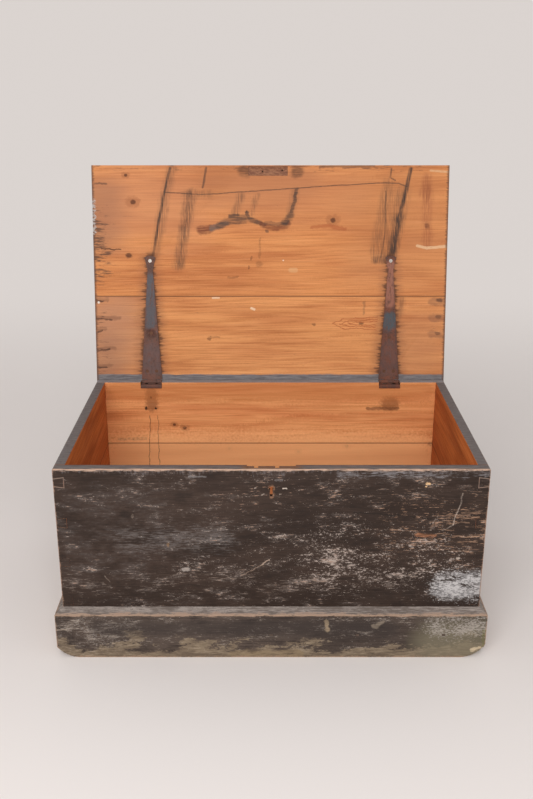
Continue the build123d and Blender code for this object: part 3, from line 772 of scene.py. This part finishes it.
def plinth_paint():
    """The plinth: greyer, more worn paint with a rubbed edge, a pale sloping top and mud below."""
    material, tree, here = new_material("painted_pine_plinth")
    flat = add(tree, "place", here, (0, 0, 0), FLAT_FRONT)
    paint, height, fine, streaked, mottled = paint_layers(tree, flat, "40352f", "54473f", "98806b",
                                                          seed=0.83)
    x, y = add(tree, "split", flat)[:2]
    low = speckle(tree, flat, 60 * MM, (1.8, 0.8, 1), 4.0, 0.65, shift=(0.4, 0.1, 0))
    paint = flakes(tree, paint, fine, 0.66, 0.0, "a19285", 0.75)
    left = region(tree, flat, (-400, 60), (120, 60), 0.07, mottled)
    paint = flakes(tree, paint, fine, 0.62, left, "8d847d", 0.8)
    paint = flakes(tree, paint, streaked, 0.62, left, "a6988b", 0.7)
    height_up = add(tree, "multiply_add", low, -190 * MM, y)
    height_up = add(tree, "multiply_add", mottled, -60 * MM, height_up)
    height_up = add(tree, "multiply_add", fine, -70 * MM, height_up)
    mud = add(tree, "step", height_up, -122 * MM, -132 * MM, 0.0, 0.75)
    earth = add(tree, "mix", add(tree, "step", streaked, 0.42, 0.6), linear("6b5b4b"),
                linear("928069"))
    paint = add(tree, "mix", mud, paint, earth)
    green = region(tree, flat, (400, 40), (90, 50), 0.6, mottled)
    paint = add(tree, "mix", green, paint, linear("7d745f"))
    washed = region(tree, flat, (415, 78), (100, 40), 0.24, mottled)
    paint = flakes(tree, paint, fine, 0.68, washed, "a59c93", 0.8, 0.15)
    dull = region(tree, flat, (-60, 72), (330, 20), 0.6, mottled)
    paint = add(tree, "mix", dull, paint, linear("38302d"))
    marks = [
        (oval(118, 82, 4.5, 13) + oval(119, 70, 5.5, 6), "9c886f", 0.8),
        (oval(232, 84, 11, 4, 30) + oval(222, 78, 8, 4, -20), "8f8070", 0.6),
        (oval(440, 20, 13, 4, 20), "cdb899", 0.8),
        (oval(457, 40, 4, 30), "77733f", 0.5),
        (oval(-10, 10, 80, 8), "8a7558", 0.5),
        (line([(-460, 74), (-438, 74)], 1.8), "1e1714", 0.9),
        (line([(-460, 70), (-438, 70)], 2.2), "a59483", 0.6),
        (line([(-460, 65), (-438, 65)], 1.8), "1e1714", 0.9),
        (line([(440, 60), (460, 60)], 1.8), "3a2f28", 0.8),
        (line([(440, 52), (460, 52)], 1.8), "3a2f28", 0.8),
    ]
    drawn = shaken(tree, flat, 22 * MM, 14 * MM)
    broken = add(tree, "step", streaked, 0.36, 0.56, 0.3, 1.0)
    paint = stained(tree, paint, drawn, marks, fine, broken)
    slope = add(tree, "step", y, PLINTH_TOP - 0.3 * MM, PLINTH_TOP + 1.2 * MM, 0.0, 0.85)
    sloping = add(tree, "mix", add(tree, "step", streaked, 0.4, 0.62), linear("6f635c"),
                  linear("a0948c"))
    sloping = flakes(tree, sloping, fine, 0.62, 0.0, "4a3f38", 0.7)
    paint = add(tree, "mix", slope, paint, sloping)
    paint = rubbed_edge(tree, paint, from_edge(tree, y, PLINTH_TOP), streaked, 3.2 * MM, "b89a82",
                        0.9)
    paint = rubbed_edge(tree, paint, y, fine, 3 * MM, "a18363", 0.8)
    ends = add(tree, "subtract", HALF_WIDTH + PLINTH_THICKNESS, add(tree, "absolute", x))
    paint = rubbed_edge(tree, paint, ends, fine, 2.4 * MM, "a68c74", 0.85)
    finish_material(tree, paint, 0.62, height, 0.5 * MM)
    return material


def raw_pine():
    """Sawn wood where boards meet and on the underside: plain pine, brown from hands near the rim,
    and near-black on the keyhole's walls as painted shade."""
    material, tree, here = new_material("bare_pine_sawn")
    wood, height = pine(tree, here, "c08a60", "8f5c38", seed=0.9)
    flat = add(tree, "place", here, (0, 0, 0), FLAT_FRONT)
    fine = speckle(tree, flat, 4 * MM)
    # Painted shade: the walls of the keyhole are made near-black so the hole reads dark
    keyhole = patch(tree, flat, (0, RIM_Z / MM - 50), (14, 22), ragged=0.1, wobble=fine)
    wood = add(tree, "mix", add(tree, "multiply", keyhole, 0.97), wood, linear("120c09"))
    y = add(tree, "split", flat)[1]
    handled = add(tree, "step", y, RIM_Z - 30 * MM, RIM_Z - 18 * MM, 0.0, 0.75)
    wood = add(tree, "mix", handled, wood, linear("7d5f4d"))
    finish_material(tree, wood, 0.8, height, 0.4 * MM)
    return material


def wrought_iron(name, base, rust, paint, marks):
    """Hand-forged iron gone brown with rust. It gives the eye pitting, orange bloom and
    blue-grey patches of the paint that once covered it. The marks lie on the open lid."""
    material, tree, here = new_material(name)
    flat = add(tree, "place", here, (0, PIN_Y, PIN_Z), (-LID_ANGLE, 0, 0))
    pits = speckle(tree, here, 3.4 * MM, detail=6.0, rough=0.75)
    bloom = speckle(tree, here, 20 * MM, detail=5.0, rough=0.7, shift=(0.2, 0, 0))
    fleck = speckle(tree, here, 7 * MM, (0.7, 1, 2.6), 6.0, 0.75, shift=(0, 0.4, 0))
    color = add(tree, "mix", add(tree, "step", bloom, 0.4, 0.62), linear(base), linear(rust))
    color = add(tree, "mix", add(tree, "step", pits, 0.47, 0.36, 0.0, 0.65), color,
                linear("2e1c16"))
    for patches, tint, strength in marks:
        centre, half, turn = patches[0]
        amount = patch(tree, flat, centre, half, turn, ragged=0.7, soft=0.9, wobble=bloom)
        broken = add(tree, "step", fleck, 0.36, 0.52, 0.15, 1.0)
        amount = add(tree, "multiply", amount, broken)
        color = add(tree, "mix", add(tree, "multiply", amount, strength), color, linear(tint))
    color = flakes(tree, color, fleck, 0.62, 0.0, paint, 0.6)
    finish_material(tree, color, 0.75, pits, 0.5 * MM)
    return material


def screw_metal(name, color, roughness, tarnish):
    """A screw's metal, bright plating or browned iron, with tarnish in spots."""
    material, tree, here = new_material(name)
    spots = speckle(tree, here, 1.6 * MM, detail=3.0)
    shade = add(tree, "mix", add(tree, "step", spots, 0.45, 0.75, 0.0, 0.6), linear(color),
                linear(tarnish))
    finish_material(tree, shade, roughness, spots, 0.1 * MM, metallic=1.0)
    return material


def bare_object(name, mesh):
    """A new object in the scene, made the only chosen one."""
    made = bpy.data.objects.new(name, mesh)
    bpy.context.scene.collection.objects.link(made)
    choose(made)
    return made


def choose(chosen):
    """Make one object the only chosen and active one."""
    bpy.ops.object.select_all(action="DESELECT")
    chosen.select_set(True)
    bpy.context.view_layer.objects.active = chosen


def apply_modifier(piece, kind, **settings):
    """Give a piece one modifier and apply it."""
    made = piece.modifiers.new(kind.lower(), kind)
    for name, value in settings.items():
        setattr(made, name, value)
    choose(piece)
    bpy.ops.object.modifier_apply(modifier=made.name)


def softened(node, width, segments):
    """A copy of a CAD node with its faces joined up and its edges eased."""
    piece = bare_object("eased_" + node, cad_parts[node].data.copy())
    piece.data.materials.clear()
    bpy.ops.object.mode_set(mode="EDIT")
    bpy.ops.mesh.select_all(action="SELECT")
    bpy.ops.mesh.remove_doubles(threshold=WELD)
    bpy.ops.mesh.dissolve_limited(angle_limit=FLAT)
    bpy.ops.object.mode_set(mode="OBJECT")
    apply_modifier(piece, "BEVEL", width=width, segments=segments, limit_method="ANGLE",
                   angle_limit=SHARP, use_clamp_overlap=True)
    bpy.ops.object.shade_smooth_by_angle(angle=SMOOTH)
    return piece


def paint_faces(piece, materials, choice):
    """Give each face the material whose number choice(centre, normal) returns."""
    for material in materials:
        piece.data.materials.append(material)
    for face in piece.data.polygons:
        face.material_index = choice(face.center, face.normal)


def any_face(centre, normal):
    """Every face of a piece with one material."""
    return 0


def divide(piece, across):
    """Divide the faces of a piece that cross an upright plane."""
    choose(piece)
    bpy.ops.object.mode_set(mode="EDIT")
    bpy.ops.mesh.select_all(action="SELECT")
    bpy.ops.mesh.bisect(plane_co=(across, 0, 0), plane_no=(1, 0, 0))
    bpy.ops.object.mode_set(mode="OBJECT")


def dress(node, body, materials, choice, settings, split=None):
    """One eased piece in the place of its CAD node, divided at split where that is given."""
    piece = softened(node, settings.ease, settings.segments)
    if split is not None:
        divide(piece, split)
    paint_faces(piece, materials, choice)
    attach(piece, body)
    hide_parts(node)
    return piece


def front_face(centre, normal):
    """Faces of the front boards: 0 painted, 1 rim, 2 bare inside, 3 sawn, 4 painted ends."""
    if normal.z > 0.6 and centre.z > RIM_Z - RIM_DEPTH:
        return 1
    if normal.y < -0.5 and centre.y < FRONT_Y + OUTER:
        return 0
    if abs(centre.x) > HALF_WIDTH - OUTER:
        return 4
    return 2 if normal.y > 0.5 else 3


def back_face(centre, normal):
    """Faces of the back boards: 0 painted outside, 1 rim, 2 bare inside, 3 sawn, 4 ends."""
    if normal.z > 0.6 and centre.z > RIM_Z - RIM_DEPTH:
        return 1
    if normal.y > 0.5 and centre.y > BACK_Y - OUTER:
        return 0
    if abs(centre.x) > HALF_WIDTH - OUTER:
        return 4
    return 2 if normal.y < -0.5 else 3


def end_face(centre, normal):
    """Faces of an end: 0 painted, 1 rim, 2 bare inside, 3 sawn, 4 pins seen in front."""
    if normal.z > 0.6 and centre.z > RIM_Z - RIM_DEPTH:
        return 1
    outward = normal.x if centre.x > 0 else -normal.x
    if outward > 0.5 and abs(centre.x) > HALF_WIDTH - OUTER:
        return 0
    if centre.y < FRONT_Y + OUTER and normal.y < -0.5:
        return 4
    if centre.y > BACK_Y - OUTER and normal.y > 0.5:
        return 4
    return 2 if outward < -0.5 else 3


def lid_face(centre, normal):
    """Faces of the lid: 0 bare underside, 1 painted, 2 underside to the right of the split."""
    upright = Matrix.Rotation(LID_ANGLE, 3, "X") @ normal
    if upright.z > -0.5:
        return 1
    return 2 if centre.x > LID_SPLIT else 0


def bottom_face(centre, normal):
    """Faces of the bottom: 0 seen inside, 1 sawn."""
    return 0 if normal.z > 0.5 else 1


class TrunkBoardSettings(bpy.types.PropertyGroup):
    """How the boards' edges are eased."""
    ease: FloatProperty(name="Easing", description="Width of the eased edges of the boards",
                        default=0.6 * MM, unit="LENGTH")
    segments: IntProperty(name="Segments", description="Steps across an eased edge", default=2)


class TrunkScrewSettings(bpy.types.PropertyGroup):
    """The heads of the screws."""
    radius: FloatProperty(name="Head radius", description="Radius of a screw's head",
                          default=4.4 * MM, unit="LENGTH")
    dome: FloatProperty(name="Dome", description="How far a head stands above its plate",
                        default=0.5 * MM, unit="LENGTH")
    slot_width: FloatProperty(name="Slot width", description="Width of the cut in a head",
                              default=1.1 * MM, unit="LENGTH")
    slot_depth: FloatProperty(name="Slot depth", description="Depth of the cut in a head",
                              default=1.0 * MM, unit="LENGTH")
    length: FloatProperty(name="Length", description="Length of a screw",
                          default=16.5 * MM, unit="LENGTH")
    shank: FloatProperty(name="Shank radius", description="Radius of a screw's shank",
                         default=2.1 * MM, unit="LENGTH")


class TrunkStageSettings(bpy.types.PropertyGroup):
    """The camera, the lamp and the room."""
    camera_place: FloatVectorProperty(name="Camera", description="Where the camera stands",
                                      default=(-0.00985, -1.99492, 1.2356),
                                      subtype="TRANSLATION", unit="LENGTH")
    camera_dip: FloatProperty(name="Dip", description="How far the camera looks down",
                              default=math.radians(19.36), subtype="ANGLE")
    lens: FloatProperty(name="Lens", description="Focal length in millimetres", default=42.07)
    shift: FloatProperty(name="Shift", description="Lens shift up or down", default=-0.0251)
    key: FloatProperty(name="Key", description="Power of the large lamp", default=80.0,
                       unit="POWER")
    sky: FloatProperty(name="Sky", description="Strength of the light from all round",
                       default=0.56)
    paper: StringProperty(name="Sheet colour", description="Colour of the floor and backdrop",
                          default="efe7e3")
    wall_y: FloatProperty(name="Wall", description="Where the sheet stands upright",
                          default=5.5, unit="LENGTH")
    sweep: FloatProperty(name="Sweep", description="Size of the curve behind the trunk",
                         default=2.5, unit="LENGTH")
    key_place: FloatVectorProperty(name="Lamp", description="Where the large lamp hangs",
                                   default=(-0.5, -3.0, 2.1), subtype="TRANSLATION",
                                   unit="LENGTH")


class TRUNK_OT_carcase(bpy.types.Operator):
    """Dress the four sides in worn paint and bare pine"""
    bl_idname = "trunk.carcase"
    bl_label = "Sides"

    def execute(self, context):
        settings = context.scene.trunk_boards
        front, rim, sawn = front_paint(), rim_paint(), raw_pine()
        back = side_paint("painted_pine_back", FLAT_FRONT)
        ends = side_paint("painted_pine_ends", FLAT_END)
        front_inside = inner_wood("bare_pine_front_inside", FLAT_FRONT, "cf8552", "a45c2d", [],
                                  (-0.1, 0.25, -0.03))
        ends_inside = inner_wood("bare_pine_ends_inside", FLAT_END, "c8743a", "94491c", [],
                                 (0.1, 0.3, -0.03), deep="4a2614")
        inside = back_inside()
        for half in ("upper", "lower"):
            dress("front_board_" + half, "carcase",
                  [front, rim, front_inside, sawn, ends], front_face, settings)
            dress("back_board_" + half, "carcase",
                  [back, rim, inside, sawn, ends], back_face, settings)
            for side in ("left", "right"):
                dress(side + "_end_" + half, "carcase",
                      [ends, rim, ends_inside, sawn, front], end_face, settings)
        return {"FINISHED"}


class TRUNK_OT_bottom(bpy.types.Operator):
    """Dress the boards of the bottom"""
    bl_idname = "trunk.bottom"
    bl_label = "Bottom"

    def execute(self, context):
        settings = context.scene.trunk_boards
        floor = inner_wood("bare_pine_bottom", LEVEL, "b97647", "8d5430", [], (0, 0.05, -0.03))
        sawn = raw_pine()
        for place in ("front", "middle", "back"):
            dress("bottom_board_" + place, "carcase", [floor, sawn], bottom_face,
                  settings)
        return {"FINISHED"}


class TRUNK_OT_plinth(bpy.types.Operator):
    """Dress the plinth in its more worn paint"""
    bl_idname = "trunk.plinth"
    bl_label = "Plinth"

    def execute(self, context):
        settings = context.scene.trunk_boards
        painted = plinth_paint()
        for place in ("front", "back", "left", "right"):
            dress("plinth_" + place, "carcase", [painted], any_face, settings)
        return {"FINISHED"}


class TRUNK_OT_lid(bpy.types.Operator):
    """Dress the lid: bare wood below, paint on its edges and top"""
    bl_idname = "trunk.lid"
    bl_label = "Lid"

    def execute(self, context):
        settings = context.scene.trunk_boards
        outside = lid_paint()
        left, right = lid_underside(True), lid_underside(True, True)
        back = lid_underside(False)
        dress("lid_board_front", "lid", [left, outside, right], lid_face, settings,
              LID_SPLIT)
        dress("lid_board_back", "lid", [back, outside, back], lid_face, settings)
        return {"FINISHED"}


class TRUNK_OT_hinges(bpy.types.Operator):
    """Dress the straps, leaves and pins in rusted iron"""
    bl_idname = "trunk.hinges"
    bl_label = "Hinges"

    def execute(self, context):
        settings = context.scene.trunk_boards
        iron = {
            "left": wrought_iron("wrought_iron_left", "634b43", "755044", "6a676c", [
                (oval(-305, -205, 13, 70), "5c5d62", 0.8),
                (oval(-305, -60, 30, 40), "6d5a58", 0.6),
                (oval(-305, -125, 12, 12), "4a2a20", 0.7)]),
            "right": wrought_iron("wrought_iron_right", "5d443c", "764939", "696369", [
                (oval(304, -250, 12, 60), "a06b58", 0.8),
                (oval(304, -155, 18, 24), "4e565b", 0.9),
                (oval(304, -60, 28, 44), "6a4f49", 0.6)]),
        }
        for side, material in iron.items():
            for node, body in (("hinge_strap_", "lid"), ("hinge_leaf_", "carcase")):
                dress(node + side, body, [material], any_face, settings)
            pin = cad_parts["hinge_pin_" + side]
            pin.data.materials.clear()
            pin.data.materials.append(material)
        return {"FINISHED"}


class TRUNK_OT_screws(bpy.types.Operator):
    """Make the screws with their cut heads"""
    bl_idname = "trunk.screws"
    bl_label = "Screws"

    def execute(self, context):
        brown = screw_metal("rusted_screw", "6b4c3d", 0.55, "2d1a13")
        # Painted shade: the leaf screws that are not zinc are made near-black, standing in for the
        # shade deep in their holes
        black = screw_metal("shaded_leaf_screw", "3a2a22", 0.6, "1a100c")
        bright = screw_metal("zinc_screw", "a39c95", 0.42, "4d453f")
        settings = context.scene.trunk_screws
        make_screws("strap_screws", "lid", lambda place: brown, 1, settings)
        make_screws("tip_screws", "lid", lambda place: bright, 2, settings)
        make_screws("leaf_screws", "carcase",
                    lambda place: bright if 0 < place.x < HINGE_X else black, 1, settings)
        return {"FINISHED"}


def islands(mesh):
    """The separate shells of a mesh, each as a list of its points."""
    owner = list(range(len(mesh.vertices)))

    def root(i):
        while owner[i] != i:
            owner[i] = owner[owner[i]]
            i = owner[i]
        return i

    for edge in mesh.edges:
        a, b = (root(v) for v in edge.vertices)
        owner[a] = b
    groups = {}
    for vertex in mesh.vertices:
        groups.setdefault(root(vertex.index), []).append(vertex.co.copy())
    return list(groups.values())


def make_screws(node, body, metal_at, cuts, settings):
    """New screws where a CAD node has its plain ones, in the metal that metal_at gives a place.
    Each head's middle and direction are worked out from the points of the plain screw."""
    merged = bare_object("merged_" + node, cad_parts[node].data.copy())
    bpy.ops.object.mode_set(mode="EDIT")
    bpy.ops.mesh.select_all(action="SELECT")
    bpy.ops.mesh.remove_doubles(threshold=WELD)
    bpy.ops.object.mode_set(mode="OBJECT")
    places = [head_place(points) for points in islands(merged.data)]
    bpy.data.objects.remove(merged)
    made = []
    for number, (middle, inward) in enumerate(places):
        turn_in = math.radians(FIRST_TURN + NEXT_TURN * number)
        screw = one_screw(f"{node}_{number + 1}", cuts, turn_in, settings)
        turn = Vector((0, 0, -1)).rotation_difference(inward).to_matrix().to_4x4()
        screw.data.transform(Matrix.Translation(middle) @ turn)
        screw.data.materials.append(metal_at(middle))
        made.append(screw)
    bpy.ops.object.select_all(action="DESELECT")
    for screw in made:
        screw.select_set(True)
    bpy.context.view_layer.objects.active = made[0]
    bpy.ops.object.join()
    joined = bpy.context.view_layer.objects.active
    joined.name = "cut_" + node
    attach(joined, body)
    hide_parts(node)


def head_place(points):
    """The middle of a plain screw's head and the direction in which the screw goes in. Its ends
    are the parts farthest from each other, and the wider one is the head."""
    middle = sum(points, Vector()) / len(points)
    far = max(points, key=lambda p: (p - middle).length)
    near = max(points, key=lambda p: (p - far).length)
    ends = []
    for end, other in ((far, near), (near, far)):
        around = [p for p in points if (p - end).length < (p - other).length]
        ends.append(sum(around, Vector()) / len(around))
    axis = (ends[1] - ends[0]).normalized()
    levels = [p.dot(axis) for p in points]
    found = []
    for level in (min(levels), max(levels)):
        around = [p for p in points if abs(p.dot(axis) - level) < SCREW_END]
        centre = sum(around, Vector()) / len(around)
        found.append((centre, max((p - centre).length for p in around)))
    (low, low_reach), (high, high_reach) = found
    if low_reach > high_reach:
        return low, (high - low).normalized()
    return high, (low - high).normalized()


def one_screw(name, cuts, turn, settings):
    """A countersunk screw that goes down from the origin, with one cut or a cross in its head."""
    bpy.ops.mesh.primitive_cylinder_add(vertices=24, radius=settings.radius,
                                        depth=settings.length,
                                        location=(0, 0, -settings.length / 2))
    screw = bpy.context.active_object
    screw.name = name
    bpy.ops.object.transform_apply(location=True, rotation=True, scale=True)
    bpy.ops.object.mode_set(mode="EDIT")
    bpy.ops.mesh.select_all(action="DESELECT")
    bpy.ops.object.mode_set(mode="OBJECT")
    for face in screw.data.polygons:
        face.select = face.normal.z < -0.9
    bpy.ops.object.mode_set(mode="EDIT")
    narrow = settings.shank / settings.radius
    bpy.ops.transform.resize(value=(narrow, narrow, 1))
    bpy.ops.transform.translate(value=(0, 0, settings.length - HEAD_DEPTH))
    bpy.ops.mesh.extrude_region_move(
        TRANSFORM_OT_translate={"value": (0, 0, HEAD_DEPTH - settings.length)})
    bpy.ops.object.mode_set(mode="OBJECT")
    for cut in range(cuts):
        bpy.ops.mesh.primitive_cube_add(size=1, location=(0, 0, 0))
        cutter = bpy.context.active_object
        reach = settings.radius * (4 if cuts == 1 else 1.1)
        cutter.data.transform(Matrix.Rotation(turn + cut * math.pi / 2, 4, "Z")
                              @ Matrix.Diagonal((reach, settings.slot_width,
                                                 2 * settings.slot_depth, 1)))
        apply_modifier(screw, "BOOLEAN", operation="DIFFERENCE", object=cutter, solver="EXACT")
        bpy.data.objects.remove(cutter)
    return screw


class TRUNK_OT_nails(bpy.types.Operator):
    """Give the cut nails their finishes"""
    bl_idname = "trunk.nails"
    bl_label = "Nails"

    def execute(self, context):
        painted = wrought_iron("painted_nail", "4d4139", "5c4d43", "6b5f57", [])
        for node in ("plinth_nails", "bottom_nails"):
            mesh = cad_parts[node].data
            mesh.materials.clear()
            mesh.materials.append(painted)
        return {"FINISHED"}


def stage_material(name, color):
    """A matt, even surface for the room. Where it runs back, camera rays see it glow in the colour
    the lamp would give it: painted light that keeps its brightness.
    """
    material, tree, here = new_material(name)
    y = add(tree, "split", here)[1]
    matt = add(tree, "surface", linear(color), 0.95)
    seen = add(tree, "camera_ray")
    far = add(tree, "step", y, FAR_FROM, FAR_TO, 0.0, FAR_STRENGTH)
    # Painted light: the far sheet glows for the camera instead of being lit by the lamp
    glow = add(tree, "glow", linear(FAR_SHEET_COLOR), 1.0)
    add(tree, "output", add(tree, "either", add(tree, "multiply", seen, far), matt, glow))
    return material


def swept_paper(settings):
    """One pale sheet that runs along the floor and curves up behind the trunk."""
    bpy.ops.mesh.primitive_plane_add(size=SHEET_SIZE,
                                     location=(0, settings.wall_y - SHEET_SIZE / 2, 0))
    paper = bpy.context.active_object
    paper.name = "pale_sheet"
    bpy.ops.object.transform_apply(location=True, rotation=True, scale=True)
    back_edge = settings.wall_y - 10 * MM
    for edge in paper.data.edges:
        edge.select = all(paper.data.vertices[v].co.y > back_edge for v in edge.vertices)
    bpy.context.tool_settings.mesh_select_mode = (False, True, False)
    for face in paper.data.polygons:
        face.select = False
    for vertex in paper.data.vertices:
        vertex.select = vertex.co.y > back_edge
    bpy.ops.object.mode_set(mode="EDIT")
    bpy.ops.mesh.extrude_region_move(TRANSFORM_OT_translate={"value": (0, 0, SHEET_HEIGHT)})
    bpy.ops.object.mode_set(mode="OBJECT")
    apply_modifier(paper, "BEVEL", width=settings.sweep, segments=SHEET_STEPS,
                   limit_method="ANGLE")
    bpy.ops.object.shade_smooth()
    paper.data.materials.append(stage_material("pale_sheet", settings.paper))
    return paper


class TRUNK_OT_stage(bpy.types.Operator):
    """Set up the sheet that is floor and wall, the lamp, the sky and the camera"""
    bl_idname = "trunk.stage"
    bl_label = "Stage"

    def execute(self, context):
        settings = context.scene.trunk_stage
        scene = context.scene
        paper = swept_paper(settings)

        world = bpy.data.worlds.new("soft_room")
        scene.world = world
        world.use_nodes = True
        sky = world.node_tree.nodes["Background"]
        sky.inputs["Color"].default_value = (1, 1, 1, 1)
        sky.inputs["Strength"].default_value = settings.sky

        lamp = bpy.data.lights.new("large_soft_lamp", "AREA")
        lamp.shape = "RECTANGLE"
        lamp.size, lamp.size_y = LAMP_SIZE
        lamp.energy = settings.key
        holder = bpy.data.objects.new("large_soft_lamp", lamp)
        holder.location = settings.key_place
        aim = Vector((0, 0, RIM_Z)) - Vector(settings.key_place)
        holder.rotation_euler = aim.to_track_quat("-Z", "Y").to_euler()
        scene.collection.objects.link(holder)

        eye = bpy.data.cameras.new("camera")
        eye.lens = settings.lens
        eye.shift_y = settings.shift
        camera = bpy.data.objects.new("camera", eye)
        camera.location = settings.camera_place
        camera.rotation_euler = (math.radians(90) - settings.camera_dip, 0, 0)
        scene.collection.objects.link(camera)
        scene.camera = camera
        scene.view_settings.view_transform = "Standard"
        return {"FINISHED"}


class TRUNK_PT_panel(bpy.types.Panel):
    """The trunk's pieces and settings"""
    bl_idname = "TRUNK_PT_panel"
    bl_label = "Wooden trunk"
    bl_space_type = "VIEW_3D"
    bl_region_type = "UI"
    bl_category = "Trunk"

    def draw(self, context):
        for operator in OPERATORS:
            self.layout.operator(operator.bl_idname)
        for group in GROUPS:
            settings = getattr(context.scene, group)
            for name in settings.__annotations__:
                self.layout.prop(settings, name)


GROUPS = {
    "trunk_boards": TrunkBoardSettings,
    "trunk_screws": TrunkScrewSettings,
    "trunk_stage": TrunkStageSettings,
}
OPERATORS = (TRUNK_OT_stage, TRUNK_OT_carcase, TRUNK_OT_bottom, TRUNK_OT_plinth, TRUNK_OT_lid,
             TRUNK_OT_hinges, TRUNK_OT_screws, TRUNK_OT_nails)
CLASSES = tuple(GROUPS.values()) + OPERATORS + (TRUNK_PT_panel,)


def register():
    for kind in CLASSES:
        bpy.utils.register_class(kind)
    for name, kind in GROUPS.items():
        setattr(bpy.types.Scene, name, PointerProperty(type=kind))


def unregister():
    for name in GROUPS:
        delattr(bpy.types.Scene, name)
    for kind in reversed(CLASSES):
        bpy.utils.unregister_class(kind)


def main():
    register()
    bpy.ops.trunk.stage()
    bpy.ops.trunk.carcase()
    bpy.ops.trunk.bottom()
    bpy.ops.trunk.plinth()
    bpy.ops.trunk.lid()
    bpy.ops.trunk.hinges()
    bpy.ops.trunk.screws()
    bpy.ops.trunk.nails()


if __name__ == "__main__":
    main()
